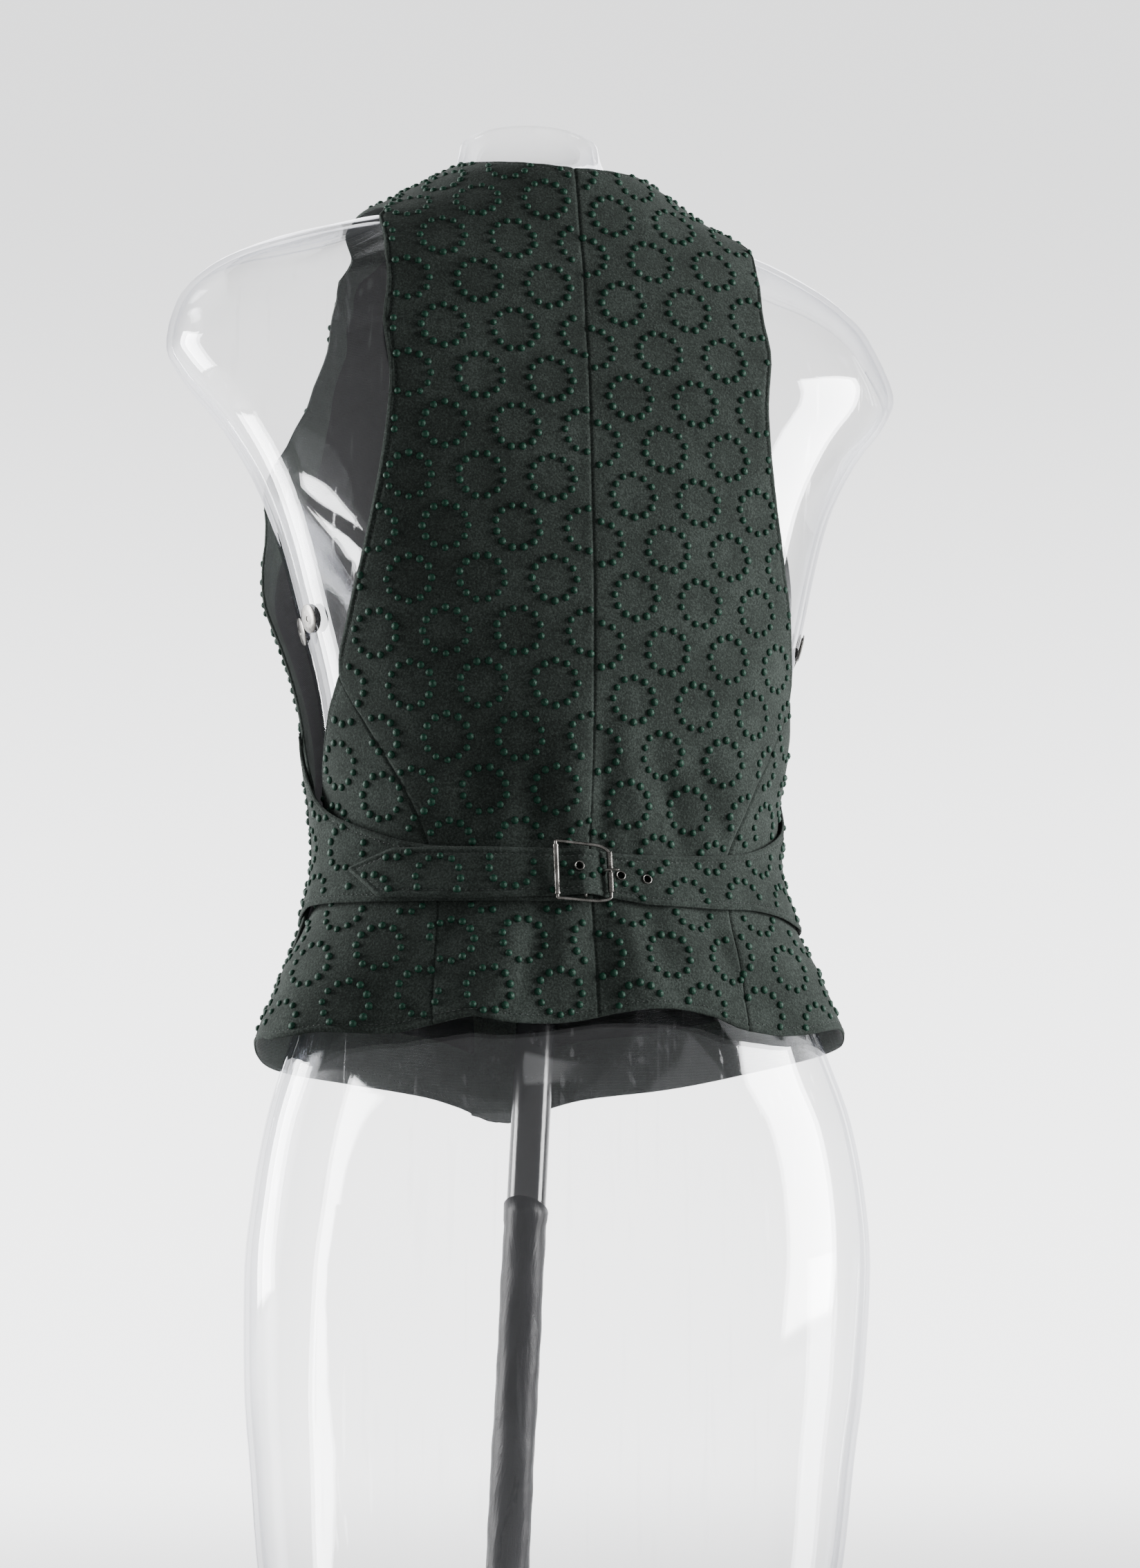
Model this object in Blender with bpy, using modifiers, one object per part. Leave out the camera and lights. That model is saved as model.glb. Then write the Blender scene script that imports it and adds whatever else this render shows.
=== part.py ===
# A fitted waistcoat with a half belt and buckle at the back waist, on a clear dress form without
# limbs, which stands on a leaning pole and a round base.
# Metres, +Z up. The front faces -Y and the wearer's left is +X. The origin is the centre of the
# base's underside. Tables are in millimetres and degrees. Their heights count from the waist, and
# their angles run round the body: 0 the left side, 90 the centre back, 180 the right side, and
# 270 or -90 the centre front.

import bpy
import bmesh
import numpy as np
from math import radians
from mathutils import Matrix, Vector

MM = 0.001
WAIST_HEIGHT = 510.0        # above the floor
SEAM_GAP = 0.3              # between neighbouring pieces
CLOTH_WALL = 2.2
BELT_WALL = 2.0
FORM_WALL = 3.0
CLOTH_CLEARANCE = 1.1       # cloth to form where it touches
BELT_LAYER = CLOTH_WALL + 1.2     # a belt's inner face, out from the cloth's
TONGUE_LAYER = BELT_LAYER + BELT_WALL + 0.7

BASE_RADIUS = 150.0
BASE_THICKNESS = 10.0
POLE_RADIUS = 11.0
COLLAR_RADIUS = 20.0
COLLAR_HEIGHT = 24.0
POLE_FOOT = (26.7, -20.0)   # where the pole's axis meets the floor, from the form's axis
POLE_TOP = (-30.0, -52.0)   # where it meets the neck plate
NECK_PLATE_HEIGHT = 414.0
NECK_PLATE_THICKNESS = 6.0

# Height, half width, y of the widest line, y of the centre back, y of the centre front, and
# squareness, where 2 is an ellipse. The form's outer skin.
FORM_SECTIONS = (
    (-430, 149, 2, 93, -87, 2.00),
    (-380, 160, 7, 101, -95, 2.00),
    (-326, 166, 11, 105, -100, 2.00),
    (-279, 171, 17, 107, -101, 2.00),
    (-220, 173, 25, 107, -101, 2.00),
    (-177, 169, 28, 104, -101, 2.00),
    (-143, 163, 27, 99, -102, 2.00),
    (-104, 151, 22, 87, -106, 2.00),
    (-62, 136, 15, 76, -111, 2.00),
    (-27, 124, 7, 68, -114, 2.00),
    (0, 120, 3, 65, -114, 2.00),
    (29, 123, 2, 68, -111, 2.00),
    (60, 129, 3, 72, -108, 2.00),
    (91, 134, 4, 75, -108, 2.00),
    (142, 147, 2, 77, -110, 2.05),
    (177, 156, -2, 75, -111, 2.10),
    (210, 167, -8, 72, -108, 2.15),
    (248, 188, -17, 68, -101, 2.20),
    (279, 212, -26, 63, -94, 2.25),
    (293, 218, -32, 60, -91, 2.25),
    (328, 210, -50, 56, -88, 2.20),
    (343, 199, -54, 52, -88, 2.15),
    (357, 175, -55, 48, -86, 2.10),
    (364, 151, -54, 46, -85, 2.10),
    (373, 122, -52, 43, -84, 2.05),
    (381, 105, -52, 38, -84, 2.00),
    (392, 86, -52, 30, -85, 2.00),
    (403, 68, -52, 17, -88, 2.00),
    (414, 52, -53, 2, -92, 2.00),
    (435, 43, -56, -15, -98, 2.00),
)

BUST = {"side": 80, "height": 165, "depth": 20, "half_width": 42, "half_height": 48}

# Height, and how far the cloth stands off the form at the sides, centre back and centre front.
CLOTH_EASE = (
    (-150, 20, 9, 6),
    (-112, 17, 6, 5),
    (-88, 15.5, 5, 4),
    (-60, 13.5, 8, 3),
    (-30, 9, 7, 2),
    (0, 5.5, 4.5, 2),
    (30, 4, 5.5, 4),
    (60, 3, 5, 6),
    (91, 2.2, 3.6, 7),
    (142, 0.8, 2.4, 5.5),
    (177, 0.6, 2, 4.5),
    (231, 0.8, 2.8, 2.5),
    (278, 1.2, 4, 2),
    (316, 1.5, 3, 2),
    (345, 2, 2.4, 2.2),
    (358, 2.4, 2.6, 2.8),
    (375, 2.6, 5, 3.6),
    (394, 2.8, 12, 4.5),
    (425, 3.2, 18, 5),
)

# Soft folds: angle, half width, height, reach upwards, reach downwards, rise.
FOLDS = (
    (84, 9, 30, 60, 17, 2.4),
    (66, 12, 32, 70, 17, -2.4),
    (46, 11, 34, 60, 17, 1.8),
    (112, 10, 30, 60, 17, -2.2),
    (133, 11, 34, 70, 17, 2.4),
    (66, 8, -115, 52, 60, 5.0),
    (47, 9, -115, 52, 60, -3.0),
    (22, 9, -115, 52, 60, 1.5),
    (86, 7, -110, 52, 60, -2.5),
    (103, 9, -110, 54, 60, 6.0),
    (130, 9, -115, 52, 60, -3.0),
    (155, 9, -115, 52, 60, 2.0),
    (182, 26, -105, 50, 60, -4.5),
)

# Height, and how far the front's armhole edge and the belt's wide end stand off beyond that.
SIDE_GAPE = (
    (-150, 0),
    (-62, 0),
    (-34, 3),
    (0, 5),
    (45, 5.5),
    (68, 5.5),
    (89, 6.5),
    (116, 8.5),
    (130, 10),
    (150, 12.5),
    (174, 8),
    (190, 2.5),
    (204, 0),
    (440, 0),
)
RIGHT_GAPE = 0.25           # the right side stands off by this share of the left's
GAPE_ANGLES = ((-68, 0), (-26, 1), (-4, 1), (10, 0.5), (28, 0))

# Outlines of the cut pieces as (angle, height), for the left half. The right half mirrors them.
BACK_NECK = ((90, 394), (77, 395.5), (64, 398), (48, 403), (30, 411), (12, 418), (0, 421))
SHOULDER = ((0, 421), (0, 411), (0, 401), (0, 391), (0, 381))
BACK_ARMHOLE = (
    (21.5, 97), (30, 130), (38, 159), (48.5, 206), (55, 238), (60.5, 268), (62.5, 300),
    (61, 332), (55, 353), (42, 369), (20, 378), (0, 381))
SIDE_BACK_SEAM = ((58, -97), (55.5, -60), (53, -30), (47.5, 7), (39.5, 41), (30.5, 69), (21.5, 97))
SIDE_ARMHOLE = ((21.5, 97), (14, 80), (7, 60), (0, 45), (-4, 36))
FRONT_ARMHOLE = (
    (-4, 45), (-8, 62), (-10.5, 84), (-12, 110), (-12, 140), (-13, 165), (-16, 188), (-24, 214),
    (-39, 242), (-51, 266), (-58, 290), (-60, 318), (-57.5, 345), (-47, 365), (-24, 376), (0, 381))
FRONT_NECK = (
    (-90, 168), (-86.5, 230), (-82.5, 300), (-79, 340), (-73.5, 366), (-65, 381), (-57, 392),
    (-45, 403), (-24, 414), (0, 421))
HEM = (
    (-97, -137), (-90, -137), (-84, -131), (-77, -124), (-57, -117), (-30, -112), (-4, -101),
    (8, -101), (16, -103), (24, -101.5), (32, -99.5), (50, -99.5), (60, -95.5), (66, -93),
    (73, -95), (80, -94.5), (87, -92), (94, -88.5), (103, -86.5), (113, -89), (120, -94.5),
    (128, -96.5), (142, -95), (155, -91), (168, -93), (184, -98), (213, -107), (237, -117),
    (257, -124), (264, -131), (270, -137), (277, -137))
SIDE_SEAM_ANGLE = -4
FRONT_OVERLAP = 11.0        # the right front laps over the left by this, each side of the centre
LAP_FLAT = 20.0             # the right front lies raised this far past the centre
LAP_RAMP = 16.0
LAP_RISE = CLOTH_WALL + 0.9

# Heights of a back panel's rows, from above the hem to the armhole's corner, close at the waist.
WAIST_ROWS = (-64, -40, -25, -10, 4, 19, 38, 64, 97)
SIDE_ROWS = (-78, -56, -40, -26, -12, 1, 13, 25, 36)
FRONT_SIDE_ROWS = (-78, -56, -40, -26, -10, 6, 19, 32, 45)

# The belt halves: lower edge and upper edge, from the wide end at the side to the buckle.
LEFT_BELT_TOP = (
    (-9.5, 74), (-8, 62), (-4.5, 50), (0, 41), (6, 30), (13, 22.5), (25, 14), (33, 9), (42, 4),
    (52, 1), (64, 0), (76, 0), (89.8, 0))
LEFT_BELT_BOTTOM = ((-14, -38), (-4, -34), (6, -30.5), (20, -30), (40, -30), (60, -30), (89.8, -29))
RIGHT_BELT_TOP = (
    (189.5, 74), (188, 62), (184.5, 50), (180, 41), (174, 31), (167, 24), (155, 15), (146, 9),
    (136, 4), (124, 1), (112, -1), (103, -1.8), (97, -1.8), (93, -1.0), (86, -0.4), (80, -0.4),
    (60, 0), (38.5, 0))
RIGHT_BELT_BOTTOM = (
    (194, -40), (184, -38), (172, -36.5), (160, -35), (148, -31), (134, -29), (120, -30),
    (104, -30), (99, -28.6), (95, -27.2), (90, -26.8), (86, -27), (80, -27.6), (60, -29.6),
    (37, -28.6))
TONGUE_TIP = (23.5, -12)
# Angle, and the strap's inner face out from the cloth's: under the coil bar, over the hidden
# centre bar, under the roller, then along the left half.
STRAP_LAYERS = (
    (0, TONGUE_LAYER), (82, TONGUE_LAYER), (85, TONGUE_LAYER + 1.5), (87.5, TONGUE_LAYER + 2.9),
    (90, TONGUE_LAYER + 1.9), (93.5, BELT_LAYER + 0.3), (95, BELT_LAYER), (360, BELT_LAYER))

# The buckle: a wire frame with a roller on its left side and a coil-wrapped bar on its right.
WIRE_RADIUS = 0.9
BUCKLE_CLEARANCE = 1.3
ROLLER = {"angle": 81.0, "radius": 1.6, "hole": 1.25, "top": 0.6, "bottom": -27.6}
COIL = {"angle": 93.9, "radius": 1.7, "hole": 1.25, "top": -3.6, "bottom": -25.8}
BAR_ANGLE = 87.9
FRAME_TOP = 2.3
FRAME_BOTTOM = -30.4
EYELET_ANGLES = (86.4, 96.9, 103.5)
EYELET_HEIGHTS = (-12.0, -15.0, -16.5)
PRONG_HOLE = (92.0, -14.0)
EYELET_HOLE = 1.7
EYELET_BARREL = 2.1
EYELET_RIM = 3.0
EYELET_RIM_THICKNESS = 0.7
STRAP_HOLE = 2.45
PRONG_RADIUS = 0.7

BUTTON_COUNT = 5
BUTTON_TOP = 148.0
BUTTON_PITCH = 46.0
BUTTON_RADIUS = 7.5
BUTTON_THICKNESS = 3.0
RIVET_PLACES = ((-2.0, 127.0), (9.0, 131.0))
RIVET_RADIUS = 4.6
RIVET_THICKNESS = 2.2

FORM_COLUMNS = 30
FORM_ROWS = (
    -430, -390, -340, -285, -230, -185, -145, -104, -62, -27, 0, 29, 60, 100, 142, 180, 210, 239,
    262, 279, 293, 312, 330, 345, 357, 368, 382, 398, 416, 435)


def smooth_curve(places, values):
    # A smooth function through the rows of a table, which never overshoots them.
    x, y = np.asarray(places, float), np.asarray(values, float)
    steps = np.diff(x)
    slopes = np.diff(y) / steps
    tangents = np.zeros_like(y)
    tangents[0], tangents[-1] = slopes[0], slopes[-1]
    for i in range(1, len(x) - 1):
        if slopes[i - 1] * slopes[i] > 0:
            after, before = 2 * steps[i] + steps[i - 1], steps[i] + 2 * steps[i - 1]
            tangents[i] = (after + before) / (after / slopes[i - 1] + before / slopes[i])

    def value(at):
        at = np.clip(np.asarray(at, float), x[0], x[-1])
        k = np.clip(np.searchsorted(x, at, side="right") - 1, 0, len(x) - 2)
        s = (at - x[k]) / steps[k]
        return ((1 + 2 * s) * (1 - s) ** 2 * y[k] + s * (1 - s) ** 2 * steps[k] * tangents[k]
                + s * s * (3 - 2 * s) * y[k + 1] + s * s * (s - 1) * steps[k] * tangents[k + 1])

    return value


def column_curves(table):
    rows = np.array(table, float)
    return [smooth_curve(rows[:, 0], rows[:, i]) for i in range(1, rows.shape[1])]


form_columns = column_curves(FORM_SECTIONS)
ease_columns = column_curves(CLOTH_EASE)
gape_height = column_curves(SIDE_GAPE)[0]
gape_angle = column_curves(GAPE_ANGLES)[0]
strap_layer = column_curves(STRAP_LAYERS)[0]
hem_height = column_curves(HEM)[0]


def section_point(angle, height, ease):
    # A point on the form's skin, or on a looser skin round it where ease is 1.
    half_width, widest, back, front, squareness = (curve(height) for curve in form_columns)
    side_ease, back_ease, front_ease = (curve(height) * ease for curve in ease_columns)
    c, s = np.cos(np.radians(angle)), np.sin(np.radians(angle))
    power = 2 / squareness
    x = (half_width + side_ease) * np.sign(c) * np.abs(c) ** power
    depth = np.where(s > 0, back + back_ease - widest, widest - front + front_ease)
    y = widest + depth * np.sign(s) * np.abs(s) ** power
    lobe = np.exp(-((np.abs(x) - BUST["side"]) / BUST["half_width"]) ** 2
                  - ((height - BUST["height"]) / BUST["half_height"]) ** 2)
    y = y - BUST["depth"] * lobe * np.clip(-s, 0, 1)
    return np.stack([x, y, height + 0 * x], -1)


def outward(angle, height, ease):
    # The skin's unit normal, from close neighbours.
    low, high = FORM_SECTIONS[0][0], FORM_SECTIONS[-1][0]
    around = section_point(angle + 0.3, height, ease) - section_point(angle - 0.3, height, ease)
    up = (section_point(angle, np.minimum(height + 1, high), ease)
          - section_point(angle, np.maximum(height - 1, low), ease))
    normal = np.cross(around, up)
    return normal / np.linalg.norm(normal, axis=-1, keepdims=True)


def fold_rise(angle, height):
    rise = 0 * angle
    for centre, half_width, level, up, down, depth in FOLDS:
        reach = np.where(height > level, up, down)
        rise = rise + depth * np.exp(-((angle - centre) / half_width) ** 2
                                     - ((height - level) / reach) ** 2)
    return rise


def side_gape(angle, height):
    # Angles on the right half are mirrored to the left first.
    right = (angle > 90) & (angle < 280)
    mirrored = np.where(right, 180 - angle, angle)
    return gape_height(height) * gape_angle(mirrored) * np.where(right, RIGHT_GAPE, 1)


def form_point(angle, height, out=0.0):
    angle, height = np.asarray(angle, float), np.asarray(height, float)
    return section_point(angle, height, 0) + outward(angle, height, 0) * np.asarray(out)[..., None]


def cloth_point(angle, height, out=0.0):
    # The cloth's inner face, moved out by a layer.
    angle, height = np.asarray(angle, float), np.asarray(height, float)
    lift = CLOTH_CLEARANCE + fold_rise(angle, height) + out
    return section_point(angle, height, 1) + outward(angle, height, 1) * lift[..., None]


def to_world(points):
    # From the form's own frame in millimetres to the part's frame in metres.
    return (np.asarray(points, float) + (-POLE_FOOT[0], -POLE_FOOT[1], WAIST_HEIGHT)) * MM


def through(points, count):
    # Resample a list of (angle, height) as a smooth line with even steps.
    points = np.array(points, float)
    if len(points) == 2:
        share = np.linspace(0, 1, count + 1)[:, None]
        return points[0] * (1 - share) + points[1] * share
    gaps = np.diff(points, axis=0) * (2.0, 1.0)
    run = np.concatenate([[0], np.cumsum(np.linalg.norm(gaps, axis=1))])
    even = np.linspace(0, run[-1], count + 1)
    return np.stack([smooth_curve(run, points[:, 0])(even), smooth_curve(run, points[:, 1])(even)], -1)


def at_heights(points, hem_place, heights):
    # The same line sampled at set heights, from its place on the hem up.
    points = np.array(points, float)
    angles = smooth_curve(points[:, 1], points[:, 0])(heights)
    return np.concatenate([[hem_place], np.stack([angles, heights], -1)])


def hem_line(start, end, count):
    angles = np.linspace(start, end, count + 1)
    return np.stack([angles, hem_height(angles)], -1)


def joined(*lines):
    return np.concatenate([lines[0]] + [line[1:] for line in lines[1:]])


def mirrored_outline(points):
    return tuple((180 - angle, height) for angle, height in points)


def patch(bottom, top, start, end):
    # Fill four border lines of (angle, height) with a grid: bottom and top run from start to end.
    u = np.linspace(0, 1, len(bottom))[None, :, None]
    v = np.linspace(0, 1, len(start))[:, None, None]
    across = (1 - v) * bottom[None] + v * top[None]
    along = (1 - u) * start[:, None] + u * end[:, None]
    corners = ((1 - u) * (1 - v) * bottom[0] + u * (1 - v) * bottom[-1]
               + (1 - u) * v * top[0] + u * v * top[-1])
    return across + along - corners


def relax(grid, rounds=500):
    # Settle a grid inside its border so that no cell folds over, by elliptic smoothing.
    x = grid * (1.9, 1.0)
    for _ in range(rounds):
        du = (x[1:-1, 2:] - x[1:-1, :-2]) / 2
        dv = (x[2:, 1:-1] - x[:-2, 1:-1]) / 2
        cross = (x[2:, 2:] - x[2:, :-2] - x[:-2, 2:] + x[:-2, :-2]) / 4
        alpha = (dv * dv).sum(-1, keepdims=True) + 1e-6
        beta = (du * dv).sum(-1, keepdims=True)
        gamma = (du * du).sum(-1, keepdims=True) + 1e-6
        settled = (alpha * (x[1:-1, 2:] + x[1:-1, :-2]) + gamma * (x[2:, 1:-1] + x[:-2, 1:-1])
                   - 2 * beta * cross) / (2 * (alpha + gamma))
        x[1:-1, 1:-1] += 0.8 * (settled - x[1:-1, 1:-1])
    return x / (1.9, 1.0)


def inset(points, distance):
    # Draw a grid's border in, for the gap at a seam.
    points = points.copy()
    for edge, inner in ((0, 1), (-1, -2)):
        for grid in (points, points.transpose(1, 0, 2)):
            step = grid[inner] - grid[edge]
            grid[edge] += step / np.linalg.norm(step, axis=-1, keepdims=True) * distance
    return points


def new_collection(name, hidden=False):
    collection = bpy.data.collections.new(name)
    bpy.context.scene.collection.children.link(collection)
    collection.hide_render = hidden
    return collection


def new_material(name, colour, roughness, metallic=0.0, alpha=1.0):
    material = bpy.data.materials.new(name)
    material.use_nodes = True
    shader = material.node_tree.nodes["Principled BSDF"]
    shader.inputs["Base Color"].default_value = (*colour, 1)
    shader.inputs["Roughness"].default_value = roughness
    shader.inputs["Metallic"].default_value = metallic
    shader.inputs["Alpha"].default_value = alpha
    return material


def new_object(name, points, faces, material, flat=False):
    mesh = bpy.data.meshes.new(name)
    mesh.from_pydata([tuple(p) for p in points], [], faces)
    mesh.update()
    mesh.materials.append(material)
    if not flat:
        mesh.shade_smooth()
    thing = bpy.data.objects.new(name, mesh)
    part.objects.link(thing)
    return thing


def grid_faces(rows, columns, wrap=False):
    width = columns if wrap else columns - 1
    return [(r * columns + c, r * columns + (c + 1) % columns, (r + 1) * columns + (c + 1) % columns,
             (r + 1) * columns + c) for r in range(rows - 1) for c in range(width)]


def add_wall(thing, thickness, offset):
    wall = thing.modifiers.new("Wall", "SOLIDIFY")
    wall.thickness = thickness * MM
    wall.offset = offset
    wall.use_quality_normals = True


def cloth_panel(name, points, wall, material):
    # An open sheet at the cloth's inner face, thickened outwards.
    rows, columns = points.shape[:2]
    centre = points[rows // 2, columns // 2]
    across = points[rows // 2, columns // 2 + 1] - centre
    up = points[rows // 2 + 1, columns // 2] - centre
    faces = grid_faces(rows, columns)
    if np.dot(np.cross(across, up), centre * (1, 1, 0)) < 0:
        faces = [face[::-1] for face in faces]
    else:
        faces = [face[1:] + face[:1] for face in faces]
    panel = new_object(name, to_world(points).reshape(-1, 3), faces, material)
    add_wall(panel, wall, 1)
    return panel


def side_angle(side, angle):
    return angle if side == "left" else 180 - angle


def outline(side, points):
    return points if side == "left" else mirrored_outline(points)


def back_panel(side):
    # From the centre back to the side back seam and the armhole, up to the neck and shoulder.
    columns, armhole_rows, shoulder_columns = 12, 12, 4
    hem = hem_line(90, side_angle(side, SIDE_BACK_SEAM[0][0]), columns)
    top = joined(through(outline(side, BACK_NECK), columns - shoulder_columns),
                 through(outline(side, SHOULDER), shoulder_columns))
    outer = joined(at_heights(outline(side, SIDE_BACK_SEAM), hem[-1], WAIST_ROWS),
                   through(outline(side, BACK_ARMHOLE), armhole_rows))
    spine = ((90, hem[0][1]), (90, BACK_NECK[0][1]))
    centre = joined(at_heights(spine, hem[0], WAIST_ROWS),
                    through(((90, WAIST_ROWS[-1]), spine[1]), armhole_rows))
    grid = relax(patch(hem, top, centre, outer))
    points = cloth_point(grid[..., 0], grid[..., 1])
    cloth_panel("back_" + side, inset(points, SEAM_GAP / 2), CLOTH_WALL, felt)


def side_back_panel(side):
    # Below the armhole, from the side back seam to the side seam.
    columns = 7
    hem = hem_line(side_angle(side, SIDE_BACK_SEAM[0][0]), side_angle(side, SIDE_SEAM_ANGLE), columns)
    top = through(outline(side, SIDE_ARMHOLE), columns)
    inner = at_heights(outline(side, SIDE_BACK_SEAM), hem[0], WAIST_ROWS)
    outer = at_heights((hem[-1], top[-1]), hem[-1], SIDE_ROWS)
    grid = relax(patch(hem, top, inner, outer))
    points = cloth_point(grid[..., 0], grid[..., 1])
    cloth_panel("side_back_" + side, inset(points, SEAM_GAP / 2), CLOTH_WALL, felt)


def lap_rise(angle, height):
    # How far the upper front rises over the lower one at the buttons.
    centre_distance = (270 - angle) * 1.9
    return LAP_RISE * np.clip(1 - (centre_distance - LAP_FLAT) / LAP_RAMP, 0, 1)


def front_panel(side):
    # From the centre front, with its lap, to the side seam and the armhole.
    columns, armhole_rows, shoulder_columns = 13, 15, 4
    front = -90 if side == "left" else 270
    lap = FRONT_OVERLAP / 1.9 * (-1 if side == "left" else 1)
    hem = hem_line(front + lap, side_angle(side, SIDE_SEAM_ANGLE), columns)
    top = joined(through(outline(side, FRONT_NECK), columns - shoulder_columns),
                 through(outline(side, SHOULDER), shoulder_columns))
    top[0] += (lap, 0)
    seam = (hem[-1], outline(side, FRONT_ARMHOLE)[0])
    outer = joined(at_heights(seam, hem[-1], FRONT_SIDE_ROWS),
                   through(outline(side, FRONT_ARMHOLE), armhole_rows))
    centre = through((hem[0], top[0]), len(FRONT_SIDE_ROWS) + armhole_rows)
    grid = relax(patch(hem, top, centre, outer))
    angle, height = grid[..., 0], grid[..., 1]
    out = side_gape(angle, height)
    if side == "right":
        out = out + lap_rise(angle, height)
    cloth_panel("front_" + side, inset(cloth_point(angle, height, out), SEAM_GAP / 2), CLOTH_WALL, felt)


def belt_points(grid, layer):
    angle, height = grid[..., 0], grid[..., 1]
    return cloth_point(angle, height, side_gape(angle, height) + layer)


def left_half_belt():
    # Laps on the front at its wide end and runs under the strap to the buckle's hidden bar.
    columns, rows = 26, 3
    bottom, top = through(LEFT_BELT_BOTTOM, columns), through(LEFT_BELT_TOP, columns)
    grid = patch(bottom, top, through((bottom[0], top[0]), rows), through((bottom[-1], top[-1]), rows))
    cloth_panel("half_belt_left", belt_points(grid, BELT_LAYER), BELT_WALL, felt)


def strap_point(angle, height, out=0.0):
    return belt_points(np.stack([np.asarray(angle, float), np.asarray(height, float)], -1),
                       strap_layer(angle) + out)


def strap_frame(angle, height, out):
    # A matrix whose Z points out of the strap's inner face at a place on it.
    def at(a, h):
        return Vector(to_world(strap_point(a, h, 0.0)))

    place = at(angle, height)
    along = at(angle - 0.5, height) - at(angle + 0.5, height)
    up = (at(angle, height + 0.5) - at(angle, height - 0.5)).normalized()
    normal = along.cross(up).normalized()
    if normal.y < 0:
        normal = -normal
    side = up.cross(normal).normalized()
    rotation = Matrix((side, up, normal)).transposed().to_4x4()
    return Matrix.Translation(place + normal * out * MM) @ rotation


def right_half_belt():
    # One long strap: wide end at the side, through the buckle, to the pointed tongue.
    wide, buckle, plain, point, rows = 24, 18, 14, 3, 3

    def edge(points):
        far = [p for p in points if p[0] >= 97]
        near = [p for p in points if 80 <= p[0] <= 97]
        rest = [p for p in points if p[0] <= 80]
        return joined(through(far, wide), through(near, buckle), through(rest, plain))

    top, bottom = edge(RIGHT_BELT_TOP), edge(RIGHT_BELT_BOTTOM)
    share = np.linspace(0, 1, point + 1)[1:, None]
    tip_top, tip_bottom = np.array(TONGUE_TIP) + (0, 0.8), np.array(TONGUE_TIP) - (0, 0.8)
    top = np.concatenate([top, top[-1] * (1 - share) + tip_top * share])
    bottom = np.concatenate([bottom, bottom[-1] * (1 - share) + tip_bottom * share])
    grid = patch(bottom, top, through((bottom[0], top[0]), rows), through((bottom[-1], top[-1]), rows))
    strap = cloth_panel("half_belt_right", strap_point(grid[..., 0], grid[..., 1]), BELT_WALL, felt)
    for angle, height in [*zip(EYELET_ANGLES, EYELET_HEIGHTS), PRONG_HOLE]:
        bpy.ops.mesh.primitive_cylinder_add(vertices=16, radius=STRAP_HOLE * MM, depth=16 * MM)
        cutter = bpy.context.object
        cutter.name = "strap_hole_cutter"
        cutter.matrix_world = strap_frame(angle, height, BELT_WALL / 2)
        cutter.hide_render = True
        cutter.display_type = "WIRE"
        move_to(cutter, cutters)
        hole = strap.modifiers.new("Hole", "BOOLEAN")
        hole.operation = "DIFFERENCE"
        hole.object = cutter


def move_to(thing, collection):
    for owner in list(thing.users_collection):
        owner.objects.unlink(thing)
    collection.objects.link(thing)


def wire(name, points, radius, material, closed=False):
    # A round wire through points in the form's frame.
    curve = bpy.data.curves.new(name, "CURVE")
    curve.dimensions = "3D"
    curve.bevel_depth = radius * MM
    curve.bevel_resolution = 2
    curve.use_fill_caps = not closed
    line = curve.splines.new("POLY")
    places = to_world(points)
    line.points.add(len(places) - 1)
    for point, place in zip(line.points, places):
        point.co = (*place, 1)
    line.use_cyclic_u = closed
    curve.materials.append(material)
    thing = bpy.data.objects.new(name, curve)
    part.objects.link(thing)
    return thing


def buckle_level(angle):
    # The frame's plane, out from the strap's outer face at the roller and at the coil bar.
    roller = strap_layer(ROLLER["angle"]) + BELT_WALL + BUCKLE_CLEARANCE + ROLLER["radius"]
    coil = strap_layer(COIL["angle"]) + BELT_WALL + BUCKLE_CLEARANCE + COIL["radius"]
    share = (angle - ROLLER["angle"]) / (COIL["angle"] - ROLLER["angle"])
    return roller + (coil - roller) * share


def frame_point(angle, height):
    # On the frame's flat plane, worked out from its two upright sides.
    middle = (FRAME_TOP + FRAME_BOTTOM) / 2
    left, right = (cloth_point(a, middle, buckle_level(a)) for a in (ROLLER["angle"], COIL["angle"]))
    share = (angle - ROLLER["angle"]) / (COIL["angle"] - ROLLER["angle"])
    lean = (cloth_point(BAR_ANGLE, FRAME_TOP, 0.0) - cloth_point(BAR_ANGLE, FRAME_BOTTOM, 0.0))
    lean = lean / lean[2]
    return left + (right - left) * share + lean * (height - middle)


def tube(name, spec, material):
    # A sleeve round an upright side of the frame.
    low = Vector(to_world(frame_point(spec["angle"], spec["bottom"])))
    high = Vector(to_world(frame_point(spec["angle"], spec["top"])))
    length = (high - low).length
    mesh = bpy.data.meshes.new(name)
    sleeve = bpy.data.objects.new(name, mesh)
    profile = bmesh.new()
    corners = [(spec["hole"] * MM, length), (spec["radius"] * MM, length),
               (spec["radius"] * MM, 0), (spec["hole"] * MM, 0)]
    made = [profile.verts.new((r, 0, z)) for r, z in corners]
    for a, b in zip(made, made[1:] + made[:1]):
        profile.edges.new((a, b))
    profile.to_mesh(mesh)
    profile.free()
    mesh.materials.append(material)
    turn = sleeve.modifiers.new("Turn", "SCREW")
    turn.steps = turn.render_steps = 14
    turn.use_merge_vertices = True
    turn.merge_threshold = 0.00001
    sleeve.matrix_world = Matrix.Translation(low) @ (high - low).to_track_quat("Z", "Y").to_matrix().to_4x4()
    part.objects.link(sleeve)


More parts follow.
